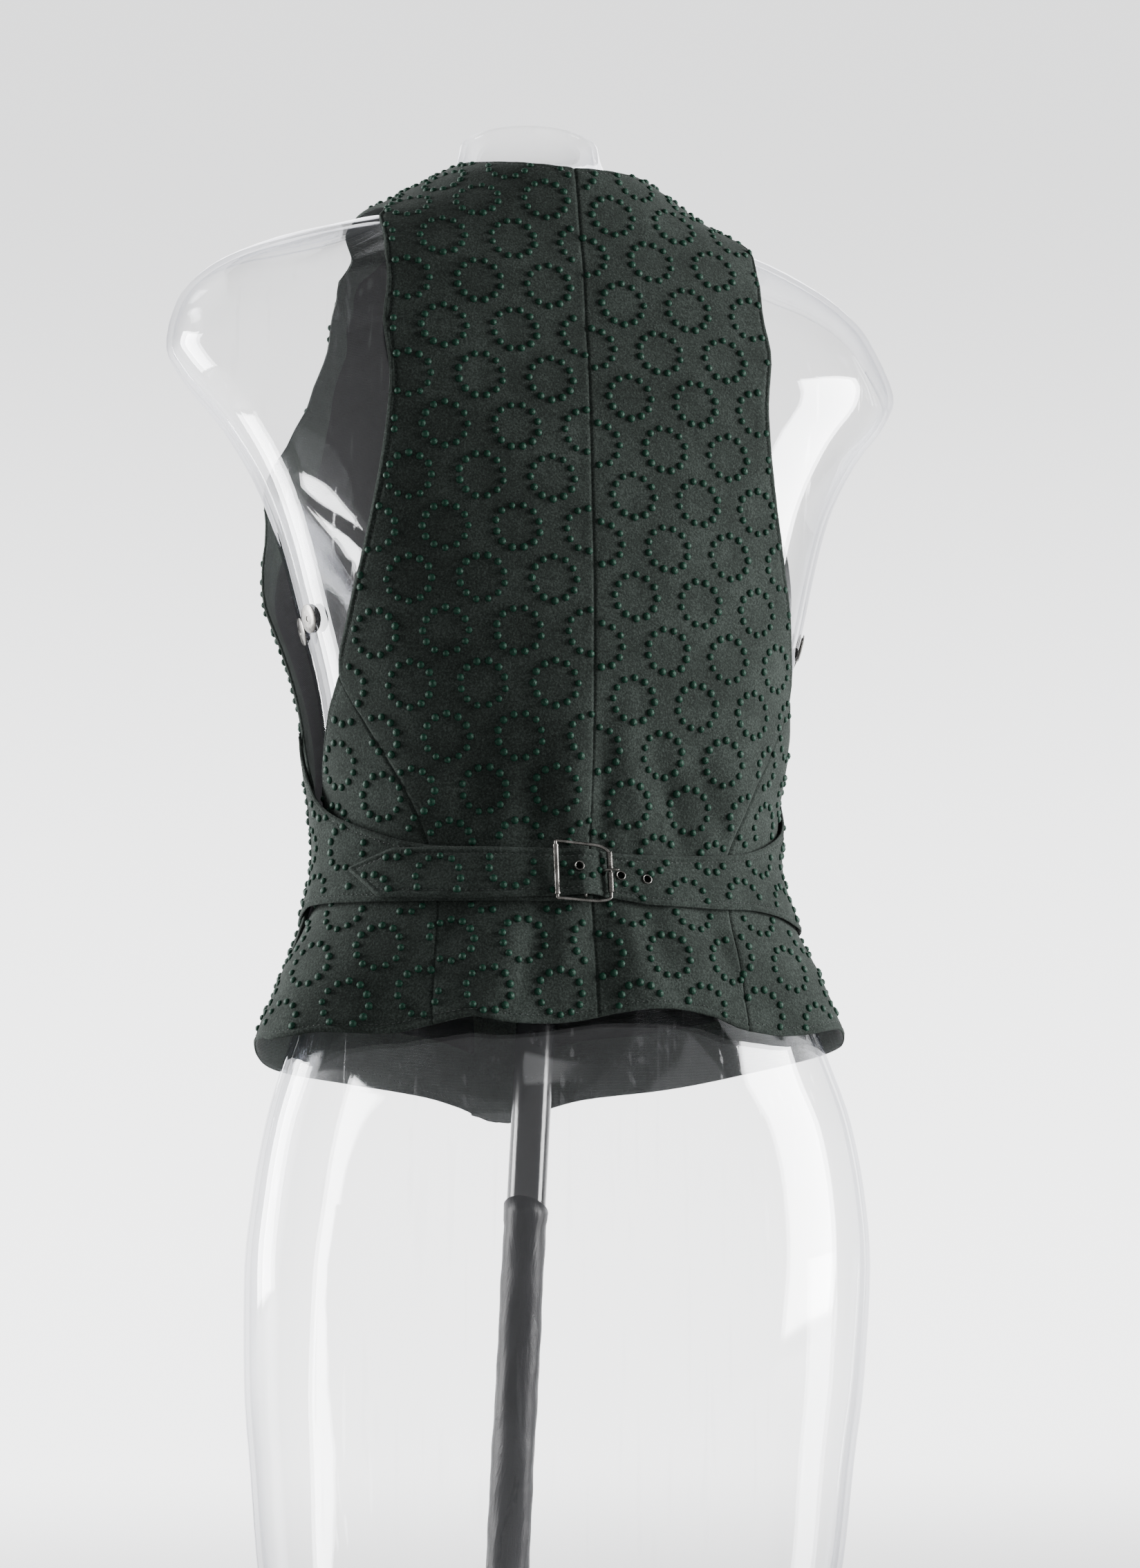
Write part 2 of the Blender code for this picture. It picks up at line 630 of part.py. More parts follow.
def buckle():
    left, right = ROLLER["angle"], COIL["angle"]
    corner = 2.4
    outline_points = [(left, FRAME_TOP), (left, FRAME_BOTTOM), (right - corner * 1.5, FRAME_BOTTOM - 0.6)]
    outline_points += [(right - corner + corner * np.sin(radians(a)),
                        FRAME_BOTTOM + corner - corner * np.cos(radians(a))) for a in (30, 60, 90)]
    outline_points += [(right - corner * 1.6 + corner * 1.6 * np.cos(radians(a)),
                        FRAME_TOP - 6.0 + 5.0 * np.sin(radians(a))) for a in (0, 30, 60, 90)]
    wire("buckle_frame", [frame_point(a, h) for a, h in outline_points], WIRE_RADIUS, nickel, closed=True)
    tube("buckle_roller", ROLLER, nickel)
    tube("buckle_coil", COIL, nickel)
    bar_out = strap_layer(BAR_ANGLE) - WIRE_RADIUS - 0.8
    wire("buckle_bar", [cloth_point(BAR_ANGLE, h, bar_out) for h in (FRAME_TOP - 1.9, FRAME_BOTTOM + 1.9)],
         WIRE_RADIUS * 0.9, nickel)
    height = PRONG_HOLE[1]
    over_coil = buckle_level(COIL["angle"]) + COIL["radius"] + PRONG_RADIUS + 0.4
    path = ((89.6, BELT_LAYER + 3.3), (90.9, BELT_LAYER + 2.1), (91.7, BELT_LAYER + 3.0),
            (92.3, BELT_LAYER + 5.0), (93.0, over_coil - 0.7), (94.0, over_coil), (95.6, over_coil - 0.2))
    wire("buckle_prong", [cloth_point(a, height, out) for a, out in path], PRONG_RADIUS, nickel)


def eyelets():
    # Turned from one profile: a barrel in the strap's hole and a rim on its face.
    low, face = 0.2, BELT_WALL + SEAM_GAP
    corners = ((EYELET_HOLE, face + EYELET_RIM_THICKNESS), (EYELET_RIM - 0.5, face + EYELET_RIM_THICKNESS),
               (EYELET_RIM, face + EYELET_RIM_THICKNESS / 2), (EYELET_RIM, face), (EYELET_BARREL, face),
               (EYELET_BARREL, low), (EYELET_HOLE, low))
    for number, (angle, height) in enumerate(zip(EYELET_ANGLES, EYELET_HEIGHTS), 1):
        name = "eyelet_%d" % number
        mesh = bpy.data.meshes.new(name)
        profile = bmesh.new()
        made = [profile.verts.new((r * MM, 0, z * MM)) for r, z in corners]
        for a, b in zip(made, made[1:] + made[:1]):
            profile.edges.new((a, b))
        profile.to_mesh(mesh)
        profile.free()
        mesh.materials.append(nickel)
        ring = bpy.data.objects.new(name, mesh)
        turn = ring.modifiers.new("Turn", "SCREW")
        turn.steps = turn.render_steps = 14
        turn.use_merge_vertices = True
        turn.merge_threshold = 0.00001
        ring.matrix_world = strap_frame(angle, height, 0.0)
        part.objects.link(ring)


def disc_on(name, place, normal, radius, thickness, bevel, material, vertices=16):
    bpy.ops.mesh.primitive_cylinder_add(vertices=vertices, radius=radius * MM, depth=thickness * MM)
    disc = bpy.context.object
    disc.name = name
    disc.matrix_world = (Matrix.Translation(place + normal * (thickness / 2) * MM)
                         @ normal.to_track_quat("Z", "Y").to_matrix().to_4x4())
    soften = disc.modifiers.new("Edge", "BEVEL")
    soften.width = bevel * MM
    soften.segments = 1
    soften.limit_method = "ANGLE"
    disc.data.materials.append(material)
    move_to(disc, part)
    return disc


def buttons():
    for number in range(BUTTON_COUNT):
        height = BUTTON_TOP - number * BUTTON_PITCH
        out = LAP_RISE + CLOTH_WALL + 0.7
        place = Vector(to_world(cloth_point(270.0, height, out)))
        normal = Vector(outward(np.array(270.0), np.array(height), 1))
        disc_on("button_%d" % (number + 1), place, normal, BUTTON_RADIUS, BUTTON_THICKNESS, 0.8, horn)


def rivets():
    for side in ("left", "right"):
        for number, (angle, height) in enumerate(RIVET_PLACES, 1):
            turned = side_angle(side, angle)
            place = Vector(to_world(form_point(turned, height, SEAM_GAP)))
            normal = Vector(outward(np.array(turned), np.array(height), 0))
            disc_on("rivet_%s_%d" % (side, number), place, normal, RIVET_RADIUS, RIVET_THICKNESS, 0.9,
                    nickel, 12)


def dress_form():
    angles = np.linspace(0, 360, FORM_COLUMNS, endpoint=False)
    grid_angle, grid_height = np.meshgrid(angles, np.array(FORM_ROWS, float))
    points = form_point(grid_angle, grid_height).reshape(-1, 3)
    faces = grid_faces(len(FORM_ROWS), FORM_COLUMNS, wrap=True)
    shell = new_object("dress_form", to_world(points), faces, clear)
    add_wall(shell, FORM_WALL, -1)


def inner_ring(height, clearance):
    # The shell's inner face at one height, drawn in by a clearance.
    angles = np.linspace(0, 360, FORM_COLUMNS, endpoint=False)
    level = np.full_like(angles, height)
    for _ in range(12):
        level += height - form_point(angles, level, -FORM_WALL - clearance)[:, 2]
    return form_point(angles, level, -FORM_WALL - clearance)


def neck_plate():
    # An oval plug whose rim bears on the narrowing neck from inside.
    low = inner_ring(NECK_PLATE_HEIGHT - NECK_PLATE_THICKNESS, 0.5)
    high = inner_ring(NECK_PLATE_HEIGHT, 0.5)
    faces = grid_faces(2, FORM_COLUMNS, wrap=True)
    faces += [tuple(range(FORM_COLUMNS))[::-1], tuple(range(FORM_COLUMNS, 2 * FORM_COLUMNS))]
    new_object("neck_plate", to_world(np.concatenate([low, high])), faces, black, flat=True)


def pole_axis(height):
    share = (height + WAIST_HEIGHT) / (NECK_PLATE_HEIGHT + WAIST_HEIGHT)
    return [foot + (top - foot) * share for foot, top in zip(POLE_FOOT, POLE_TOP)]


def leaning_ring(radius, height, vertices):
    turn = np.linspace(0, 2 * np.pi, vertices, endpoint=False)
    x, y = pole_axis(height)
    return np.stack([x + radius * np.cos(turn), y + radius * np.sin(turn), 0 * turn + height], -1)


def stand():
    bpy.ops.mesh.primitive_cylinder_add(vertices=40, radius=BASE_RADIUS * MM, depth=BASE_THICKNESS * MM,
                                        location=(0, 0, BASE_THICKNESS / 2 * MM))
    base = bpy.context.object
    base.name = "stand_base"
    soften = base.modifiers.new("Edge", "BEVEL")
    soften.width = 1.5 * MM
    soften.segments = 2
    soften.limit_method = "ANGLE"
    base.data.materials.append(black)
    move_to(base, part)

    sides = 20
    floor = BASE_THICKNESS - WAIST_HEIGHT
    low = floor + SEAM_GAP
    high = NECK_PLATE_HEIGHT - NECK_PLATE_THICKNESS - SEAM_GAP
    rings = np.concatenate([leaning_ring(POLE_RADIUS, low, sides), leaning_ring(POLE_RADIUS, high, sides)])
    faces = grid_faces(2, sides, wrap=True)
    faces += [tuple(range(sides))[::-1], tuple(range(sides, 2 * sides))]
    new_object("stand_pole", to_world(rings), faces, black, flat=True).data.set_sharp_from_angle(angle=0.7)

    profile = ((POLE_RADIUS + 0.4, low), (COLLAR_RADIUS, low), (COLLAR_RADIUS, low + COLLAR_HEIGHT * 0.6),
               (COLLAR_RADIUS - 4, low + COLLAR_HEIGHT), (POLE_RADIUS + 0.4, low + COLLAR_HEIGHT))
    rings = np.concatenate([leaning_ring(radius, height, sides) for radius, height in profile])
    faces = grid_faces(len(profile), sides, wrap=True)
    last = (len(profile) - 1) * sides
    faces += [(last + c, last + (c + 1) % sides, (c + 1) % sides, c) for c in range(sides)]
    new_object("pole_collar", to_world(rings), faces, black, flat=True)


for thing in list(bpy.data.objects):
    bpy.data.objects.remove(thing, do_unlink=True)
part = new_collection("waistcoat_on_form")
cutters = new_collection("cutters", hidden=True)
felt = new_material("felt", (0.045, 0.055, 0.05), 0.95)
clear = new_material("clear_shell", (0.9, 0.92, 0.94), 0.08, alpha=0.25)
nickel = new_material("nickel", (0.62, 0.61, 0.58), 0.3, metallic=1.0)
horn = new_material("horn", (0.03, 0.035, 0.03), 0.4)
black = new_material("black_metal", (0.02, 0.02, 0.022), 0.35, metallic=0.3)

for half in ("left", "right"):
    back_panel(half)
    side_back_panel(half)
    front_panel(half)
left_half_belt()
right_half_belt()
buckle()
eyelets()
buttons()
dress_form()
rivets()
neck_plate()
stand()
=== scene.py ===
# The looks of a waistcoat with a buckled half belt, on a clear dress form with a leaning pole.
# Tables are in millimetres and degrees, as in the part's source: heights count from the waist, and
# angles run round the body, 0 the left side, 90 the centre back, 180 the right, 270 the front.
import bpy
import math
import numpy as np
from mathutils import Matrix, Vector
from mathutils.bvhtree import BVHTree
from mathutils.geometry import barycentric_transform


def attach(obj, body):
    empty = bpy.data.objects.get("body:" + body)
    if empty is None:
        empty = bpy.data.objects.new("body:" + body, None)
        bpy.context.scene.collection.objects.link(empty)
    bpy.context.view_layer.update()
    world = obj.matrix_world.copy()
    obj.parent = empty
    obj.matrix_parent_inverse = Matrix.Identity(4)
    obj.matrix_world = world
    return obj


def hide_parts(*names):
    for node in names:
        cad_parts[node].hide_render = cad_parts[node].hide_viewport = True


mm = 0.001
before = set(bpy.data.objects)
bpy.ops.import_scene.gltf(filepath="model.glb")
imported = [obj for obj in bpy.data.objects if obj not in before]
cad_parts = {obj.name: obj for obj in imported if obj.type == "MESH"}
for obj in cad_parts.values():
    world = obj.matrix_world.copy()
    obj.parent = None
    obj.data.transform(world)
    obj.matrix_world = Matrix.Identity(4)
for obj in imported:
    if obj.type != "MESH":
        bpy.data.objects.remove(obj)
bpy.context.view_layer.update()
print("frame loaded:", len(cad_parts), "nodes")

body = {
    "waist": 510.0, "poleFoot": (26.7, -20.0), "poleTop": (-30.0, -52.0), "platform": 414.0,
    "wall": 3.0, "degree": 1.9,  # millimetres that a degree spans, as near as the seams need
    # height, half width, y of the widest line, of the centre back, of the centre front, squareness
    "sections": (
        (-430, 149, 2, 93, -87, 2.00), (-380, 160, 7, 101, -95, 2.00), (-326, 166, 11, 105, -100, 2.00),
        (-279, 171, 17, 107, -101, 2.00), (-220, 173, 25, 107, -101, 2.00),
        (-177, 169, 28, 104, -101, 2.00), (-143, 163, 27, 99, -102, 2.00), (-104, 151, 22, 87, -106, 2.00),
        (-62, 136, 15, 76, -111, 2.00), (-27, 124, 7, 68, -114, 2.00), (0, 120, 3, 65, -114, 2.00),
        (29, 123, 2, 68, -111, 2.00), (60, 129, 3, 72, -108, 2.00), (91, 134, 4, 75, -108, 2.00),
        (142, 147, 2, 77, -110, 2.05), (177, 156, -2, 75, -111, 2.10), (210, 167, -8, 72, -108, 2.15),
        (248, 188, -17, 68, -101, 2.20), (279, 212, -26, 63, -94, 2.25), (293, 218, -32, 60, -91, 2.25),
        (328, 210, -50, 56, -88, 2.20), (343, 199, -54, 52, -88, 2.15), (357, 175, -55, 48, -86, 2.10),
        (364, 151, -54, 46, -85, 2.10), (373, 122, -52, 43, -84, 2.05), (381, 105, -52, 38, -84, 2.00),
        (392, 86, -52, 30, -85, 2.00), (403, 68, -52, 17, -88, 2.00), (414, 52, -53, 2, -92, 2.00),
        (435, 43, -56, -15, -98, 2.00), (443, 41.5, -56, -17, -96, 2.00)),
    "bust": {"side": 80, "height": 165, "depth": 20, "halfWidth": 42, "halfHeight": 48},
}
cloth = {
    "wall": 2.2, "clearance": 1.1, "beltWall": 2.0, "beltLayer": 3.4,
    # height, and how far the cloth stands off at the sides, centre back and centre front
    "ease": (
        (-150, 20, 9, 6), (-112, 17, 6, 5), (-88, 15.5, 5, 4), (-60, 13.5, 8, 3), (-30, 9, 7, 2),
        (0, 5.5, 4.5, 2), (30, 4, 5.5, 4), (60, 3, 5, 6), (91, 2.2, 3.6, 7), (142, 0.8, 2.4, 5.5),
        (177, 0.6, 2, 4.5), (231, 0.8, 2.8, 2.5), (278, 1.2, 4, 2), (316, 1.5, 3, 2),
        (345, 2, 2.4, 2.2), (358, 2.4, 2.6, 2.8), (375, 2.6, 5, 3.6), (394, 2.8, 12, 4.5),
        (425, 3.2, 18, 5)),
    # angle, half width, height, reach upwards, reach downwards, rise
    "folds": (
        (84, 9, 30, 60, 17, 2.4), (66, 12, 32, 70, 17, -2.4), (46, 11, 34, 60, 17, 1.8),
        (112, 10, 30, 60, 17, -2.2), (133, 11, 34, 70, 17, 2.4), (66, 8, -115, 52, 60, 5.0),
        (47, 9, -115, 52, 60, -3.0), (22, 9, -115, 52, 60, 1.5), (86, 7, -110, 52, 60, -2.5),
        (103, 9, -110, 54, 60, 6.0), (130, 9, -115, 52, 60, -3.0), (155, 9, -115, 52, 60, 2.0),
        (182, 26, -105, 50, 60, -4.5)),
    "gape": (
        (-150, 0), (-62, 0), (-34, 3), (0, 5), (45, 5.5), (68, 5.5), (89, 6.5), (116, 8.5),
        (130, 10), (150, 12.5), (174, 8), (190, 2.5), (204, 0), (440, 0)),
    "gapeAngles": ((-68, 0), (-26, 1), (-4, 1), (10, 0.5), (28, 0)), "rightGape": 0.25,
    # softer folds of the worn cloth: angle, lean in degrees per mm, half width, height, reach, depth
    "creases": (
        (93, 0, 3.0, 32, 38, 2.6), (85, 0, 3.6, 28, 34, -1.6), (76, 0.03, 3.0, 22, 26, 1.7),
        (69, 0.05, 3.2, 24, 24, -1.1), (110.5, -0.2, 3.2, 34, 36, 2.4), (102, -0.12, 3.0, 26, 30, -1.4),
        (124, -0.25, 3.2, 30, 28, 1.6), (59, 0.15, 3.0, 26, 24, 1.4), (90.5, 0, 2.7, -54, 26, 2.2),
        (84, 0.02, 3.0, -56, 26, -1.6), (77, 0.03, 2.8, -54, 26, 1.8), (71, 0.04, 2.8, -58, 26, -1.3),
        (98, -0.02, 2.8, -54, 24, -1.2), (104, -0.03, 2.8, -52, 24, 1.6), (112, -0.05, 3.2, -56, 26, -1.2),
        (121, -0.06, 3.0, -54, 24, 1.8), (57, 0.05, 3.0, -52, 22, 1.2), (236, 0.1, 2.8, 20, 34, 1.0),
        (-56, -0.1, 2.8, 20, 34, 1.0), (250, 0.05, 3.0, -30, 30, 0.9), (-70, -0.05, 3.0, -30, 30, 0.9)),
}
cuts = {
    "backNeck": ((90, 394), (77, 395.5), (64, 398), (48, 403), (30, 411), (12, 418), (0, 421)),
    "shoulder": ((0, 421), (0, 411), (0, 401), (0, 391), (0, 381)),
    "backArmhole": (
        (21.5, 97), (30, 130), (38, 159), (48.5, 206), (55, 238), (60.5, 268), (62.5, 300),
        (61, 332), (55, 353), (42, 369), (20, 378), (0, 381)),
    "sideBackSeam": ((58, -97), (55.5, -60), (53, -30), (47.5, 7), (39.5, 41), (30.5, 69), (21.5, 97)),
    "sideArmhole": ((21.5, 97), (14, 80), (7, 60), (0, 45), (-4, 36)),
    "frontArmhole": (
        (-4, 45), (-8, 62), (-10.5, 84), (-12, 110), (-12, 140), (-13, 165), (-16, 188), (-24, 214),
        (-39, 242), (-51, 266), (-58, 290), (-60, 318), (-57.5, 345), (-47, 365), (-24, 376), (0, 381)),
    "frontNeck": (
        (-90, 168), (-86.5, 230), (-82.5, 300), (-79, 340), (-73.5, 366), (-65, 381), (-57, 392),
        (-45, 403), (-24, 414), (0, 421)),
    "hem": (
        (-97, -131), (-90, -137), (-84, -131), (-77, -124), (-57, -117), (-30, -112), (-4, -101),
        (8, -101), (16, -103), (24, -101.5), (32, -99.5), (50, -99.5), (60, -95.5), (66, -93),
        (73, -95), (80, -94.5), (87, -92), (94, -88.5), (103, -86.5), (113, -89), (120, -94.5),
        (128, -96.5), (142, -95), (155, -91), (168, -93), (184, -98), (213, -107), (237, -117),
        (257, -124), (264, -131), (270, -137), (277, -131)),
    "sideSeam": -4, "overlap": 11.0, "lapFlat": 20.0, "lapRamp": 16.0, "lapRise": 3.1,
    "waistRows": (-64, -40, -25, -10, 4, 19, 38, 64, 97),
    "sideRows": (-78, -56, -40, -26, -12, 1, 13, 25, 36),
    "frontRows": (-78, -56, -40, -26, -10, 6, 19, 32, 45),
}


def smoothCurve(places, values):
    x, y = np.asarray(places, float), np.asarray(values, float)
    steps = np.diff(x)
    slopes = np.diff(y) / steps
    tangents = np.zeros_like(y)
    tangents[0], tangents[-1] = slopes[0], slopes[-1]
    for i in range(1, len(x) - 1):
        if slopes[i - 1] * slopes[i] > 0:
            after, before = 2 * steps[i] + steps[i - 1], steps[i] + 2 * steps[i - 1]
            tangents[i] = (after + before) / (after / slopes[i - 1] + before / slopes[i])

    def value(at):
        at = np.clip(np.asarray(at, float), x[0], x[-1])
        k = np.clip(np.searchsorted(x, at, side="right") - 1, 0, len(x) - 2)
        s = (at - x[k]) / steps[k]
        return ((1 + 2 * s) * (1 - s) ** 2 * y[k] + s * (1 - s) ** 2 * steps[k] * tangents[k]
                + s * s * (3 - 2 * s) * y[k + 1] + s * s * (s - 1) * steps[k] * tangents[k + 1])

    return value


def columnCurves(rows):
    table = np.array(rows, float)
    return [smoothCurve(table[:, 0], table[:, i]) for i in range(1, table.shape[1])]


formColumns, easeColumns = columnCurves(body["sections"]), columnCurves(cloth["ease"])
gapeHeight, gapeAngle = columnCurves(cloth["gape"])[0], columnCurves(cloth["gapeAngles"])[0]
hemHeight = columnCurves(cuts["hem"])[0]


def sectionPoint(angle, height, ease):
    halfWidth, widest, back, front, squareness = (curve(height) for curve in formColumns)
    sideEase, backEase, frontEase = (curve(height) * ease for curve in easeColumns)
    c, s = np.cos(np.radians(angle)), np.sin(np.radians(angle))
    power = 2 / squareness
    x = (halfWidth + sideEase) * np.sign(c) * np.abs(c) ** power
    depth = np.where(s > 0, back + backEase - widest, widest - front + frontEase)
    y = widest + depth * np.sign(s) * np.abs(s) ** power
    bust = body["bust"]
    lobe = np.exp(-((np.abs(x) - bust["side"]) / bust["halfWidth"]) ** 2
                  - ((height - bust["height"]) / bust["halfHeight"]) ** 2)
    return np.stack([x, y - bust["depth"] * lobe * np.clip(-s, 0, 1), height + 0 * x], -1)


def unit(vectors):
    return vectors / np.linalg.norm(vectors, axis=-1, keepdims=True)


def outward(angle, height, ease):
    low, high = body["sections"][0][0], body["sections"][-1][0]
    around = sectionPoint(angle + 0.3, height, ease) - sectionPoint(angle - 0.3, height, ease)
    up = (sectionPoint(angle, np.minimum(height + 1, high), ease)
          - sectionPoint(angle, np.maximum(height - 1, low), ease))
    return unit(np.cross(around, up))


def foldRise(angle, height):
    rise = 0 * angle
    for centre, halfWidth, level, up, down, depth in cloth["folds"]:
        reach = np.where(height > level, up, down)
        rise = rise + depth * np.exp(-((angle - centre) / halfWidth) ** 2
                                     - ((height - level) / reach) ** 2)
    return rise


def creaseDrop(angle, height):
    drop = 0 * angle
    for centre, lean, halfWidth, level, reach, depth in cloth["creases"]:
        across = angle - centre - lean * (height - level)
        drop = drop + depth * np.exp(-(across / halfWidth) ** 2 - ((height - level) / reach) ** 2)
    return drop


def sideGape(angle, height):
    right = (angle > 90) & (angle < 280)
    mirrored = np.where(right, 180 - angle, angle)
    return gapeHeight(height) * gapeAngle(mirrored) * np.where(right, cloth["rightGape"], 1)


def arrays(*values):
    return [np.asarray(value, float) for value in values]


def formPoint(angle, height, out=0.0):
    angle, height = arrays(angle, height)
    return sectionPoint(angle, height, 0) + outward(angle, height, 0) * np.asarray(out)[..., None]


def clothPoint(angle, height, out=0.0):
    angle, height = arrays(angle, height)
    lift = cloth["clearance"] + foldRise(angle, height) + out
    return sectionPoint(angle, height, 1) + outward(angle, height, 1) * lift[..., None]


def toWorld(points):
    shift = (-body["poleFoot"][0], -body["poleFoot"][1], body["waist"])
    return (np.asarray(points, float) + shift) * mm


def spaced(points, count, scale):
    run = np.concatenate([[0], np.cumsum(np.linalg.norm(np.diff(points, axis=0) * scale, axis=1))])
    even = np.linspace(0, run[-1], count)
    return np.stack([smoothCurve(run, column)(even) for column in points.T], -1)


def through(points, count):
    points = np.array(points, float)
    if len(points) == 2:
        share = np.linspace(0, 1, count + 1)[:, None]
        return points[0] * (1 - share) + points[1] * share
    return spaced(points, count + 1, (2.0, 1.0))


def atHeights(points, hemPlace, heights):
    points = np.array(points, float)
    angles = smoothCurve(points[:, 1], points[:, 0])(heights)
    return np.concatenate([[hemPlace], np.stack([angles, heights], -1)])


def hemLine(start, end, count):
    angles = np.linspace(start, end, count + 1)
    return np.stack([angles, hemHeight(angles)], -1)


def joined(*lines):
    return np.concatenate([lines[0]] + [line[1:] for line in lines[1:]])


def patch(bottom, top, start, end):
    u = np.linspace(0, 1, len(bottom))[None, :, None]
    v = np.linspace(0, 1, len(start))[:, None, None]
    corners = ((1 - u) * (1 - v) * bottom[0] + u * (1 - v) * bottom[-1]
               + (1 - u) * v * top[0] + u * v * top[-1])
    return ((1 - v) * bottom[None] + v * top[None] + (1 - u) * start[:, None] + u * end[:, None]
            - corners)


def relax(grid, rounds=500):
    x = grid * (body["degree"], 1.0)
    for _ in range(rounds):
        du = (x[1:-1, 2:] - x[1:-1, :-2]) / 2
        dv = (x[2:, 1:-1] - x[:-2, 1:-1]) / 2
        cross = (x[2:, 2:] - x[2:, :-2] - x[:-2, 2:] + x[:-2, :-2]) / 4
        alpha = (dv * dv).sum(-1, keepdims=True) + 1e-6
        beta = (du * dv).sum(-1, keepdims=True)
        gamma = (du * du).sum(-1, keepdims=True) + 1e-6
        settled = (alpha * (x[1:-1, 2:] + x[1:-1, :-2]) + gamma * (x[2:, 1:-1] + x[:-2, 1:-1])
                   - 2 * beta * cross) / (2 * (alpha + gamma))
        x[1:-1, 1:-1] += 0.8 * (settled - x[1:-1, 1:-1])
    return x / (body["degree"], 1.0)


def sideAngle(side, angle):
    return angle if side == "left" else 180 - angle


def outline(side, name):
    points = cuts[name]
    return points if side == "left" else tuple((180 - angle, height) for angle, height in points)


# Sockets carry the shader maths: an expression on them adds its Math nodes.
class Socket:
    tree = None

    def __init__(self, link):
        self.link = link

    def maths(self, operation, other, turned=False):
        first, second = (other, self) if turned else (self, other)
        return node("ShaderNodeMath", {"operation": operation}, {0: first, 1: second})

    def __add__(self, other):
        return self.maths("ADD", other)

    def __sub__(self, other):
        return self.maths("SUBTRACT", other)

    def __rsub__(self, other):
        return self.maths("SUBTRACT", other, True)

    def __mul__(self, other):
        return self.maths("MULTIPLY", other)

    def __pow__(self, other):
        return self.maths("POWER", other)

    def __gt__(self, other):
        return self.maths("GREATER_THAN", other)

    __radd__, __rmul__ = __add__, __mul__


def node(kind, settings=None, values=None, output=0):
    made = Socket.tree.nodes.new(kind)
    for key, value in (settings or {}).items():
        if key == "stops":
            elements = made.color_ramp.elements
            while len(elements) < len(value):
                elements.new(0.5)
            for element, (place, colour) in zip(elements, value):
                element.position = place
                element.color = (*colour, 1) if hasattr(colour, "__len__") else (colour,) * 3 + (1,)
        else:
            setattr(made, key, value)
    for key, value in (values or {}).items():
        if isinstance(value, Socket):
            Socket.tree.links.new(value.link, made.inputs[key])
        else:
            made.inputs[key].default_value = value
    return Socket(made.outputs[output])


def newMaterial(name, constants, look):
    material = bpy.data.materials.new(name)
    material.use_nodes = True
    Socket.tree = material.node_tree
    shader = Socket.tree.nodes["Principled BSDF"]
    for key, value in constants.items():
        shader.inputs[key].default_value = value
    for key, value in look().items():
        Socket.tree.links.new(value.link, shader.inputs[key])
    return material


def noise(scale, detail=2.0, roughness=0.5, distortion=0.0, stretch=None):
    place = node("ShaderNodeTexCoord", output=3)
    if stretch:
        place = node("ShaderNodeMapping", {}, {"Vector": place, "Scale": stretch})
    return node("ShaderNodeTexNoise", {}, {"Vector": place, "Scale": scale, "Detail": detail,
                                           "Roughness": roughness, "Distortion": distortion})


def ramp(factor, stops):
    return node("ShaderNodeValToRGB", {"stops": stops}, {"Fac": factor})


def blendColours(factor, first, second):
    return node("ShaderNodeMix", {"data_type": "RGBA"}, {0: factor, 6: first, 7: second}, 2)


def blendTones(factor, tone):
    return blendColours(factor, (*tone["dark"], 1), (*tone["light"], 1))


def bump(height, strength, distance):
    return node("ShaderNodeBump", {}, {"Height": height, "Strength": strength, "Distance": distance})


finish = {
    "felt": {"dark": (0.0060, 0.0083, 0.0069), "mid": (0.0140, 0.0188, 0.0160),
             "light": (0.031, 0.039, 0.0345), "fibre": (0.085, 0.100, 0.092)},
    # facing: the felt's tone on the turned-in edge, which reaches this many millimetres in
    "lining": {"dark": (0.0035, 0.0035, 0.0048), "light": (0.009, 0.009, 0.0115),
               "facing": (0.020, 0.026, 0.0235), "turnedIn": 34.0},
    "thread": {"dark": (0.0008, 0.0125, 0.0068), "light": (0.0024, 0.034, 0.0185)},
    "stitch": {"dark": (0.008, 0.011, 0.010), "light": (0.028, 0.034, 0.031)},
}


def feltColours(tone):
    # A napped wool: cloudy depth of pile, salt of pale fibres, and small pits.
    clouds = noise(38, 4, 0.6)
    pile = noise(900, 3, 0.65)
    fibres = noise(2600, 2, 0.7, 0.6)
    base = ramp(pile * 0.7 + clouds * 0.3,
                ((0.36, tone["dark"]), (0.5, tone["mid"]), (0.63, tone["light"])))
    salt = ramp(fibres, ((0.62, 0.0), (0.78, 0.75)))
    return blendColours(salt, base, (*tone["fibre"], 1)), pile, fibres, clouds


def feltLook():
    colour, pile, fibres, clouds = feltColours(finish["felt"])
    return {"Base Color": colour, "Normal": bump(pile * 0.6 + fibres * 0.25 + clouds * 0.5, 0.75, 0.0011)}


def liningLook():
    tone = finish["lining"]
    weave = node("ShaderNodeTexWave", {"wave_type": "BANDS", "bands_direction": "Z"},
                 {"Vector": node("ShaderNodeTexCoord", output=3), "Scale": 420.0, "Distortion": 1.5,
                  "Detail": 1.0})
    plain = blendTones(weave * 0.6, tone)
    distance = node("ShaderNodeAttribute", {"attribute_name": "edgeDistance"}, output=2)
    facing = feltColours(dict(finish["felt"], mid=tone["facing"]))[0]
    return {"Base Color": blendColours(distance > tone["turnedIn"], facing, plain),
            "Normal": bump(weave * 0.5 + noise(60, 3) * 2.0, 0.35, 0.0008)}


def threadLook():
    strands = noise(1500, 2, 0.6, stretch=(1, 1, 0.35))
    patches = noise(55, 2)
    return {"Base Color": blendTones(strands * 0.7 + patches * 0.5 - 0.1, finish["thread"]),
            "Normal": bump(strands, 0.7, 0.0005)}


def stitchLook():
    twist = noise(2200, 2, stretch=(1, 1, 0.3))
    return {"Base Color": blendTones(twist, finish["stitch"]), "Normal": bump(twist, 0.5, 0.0003)}


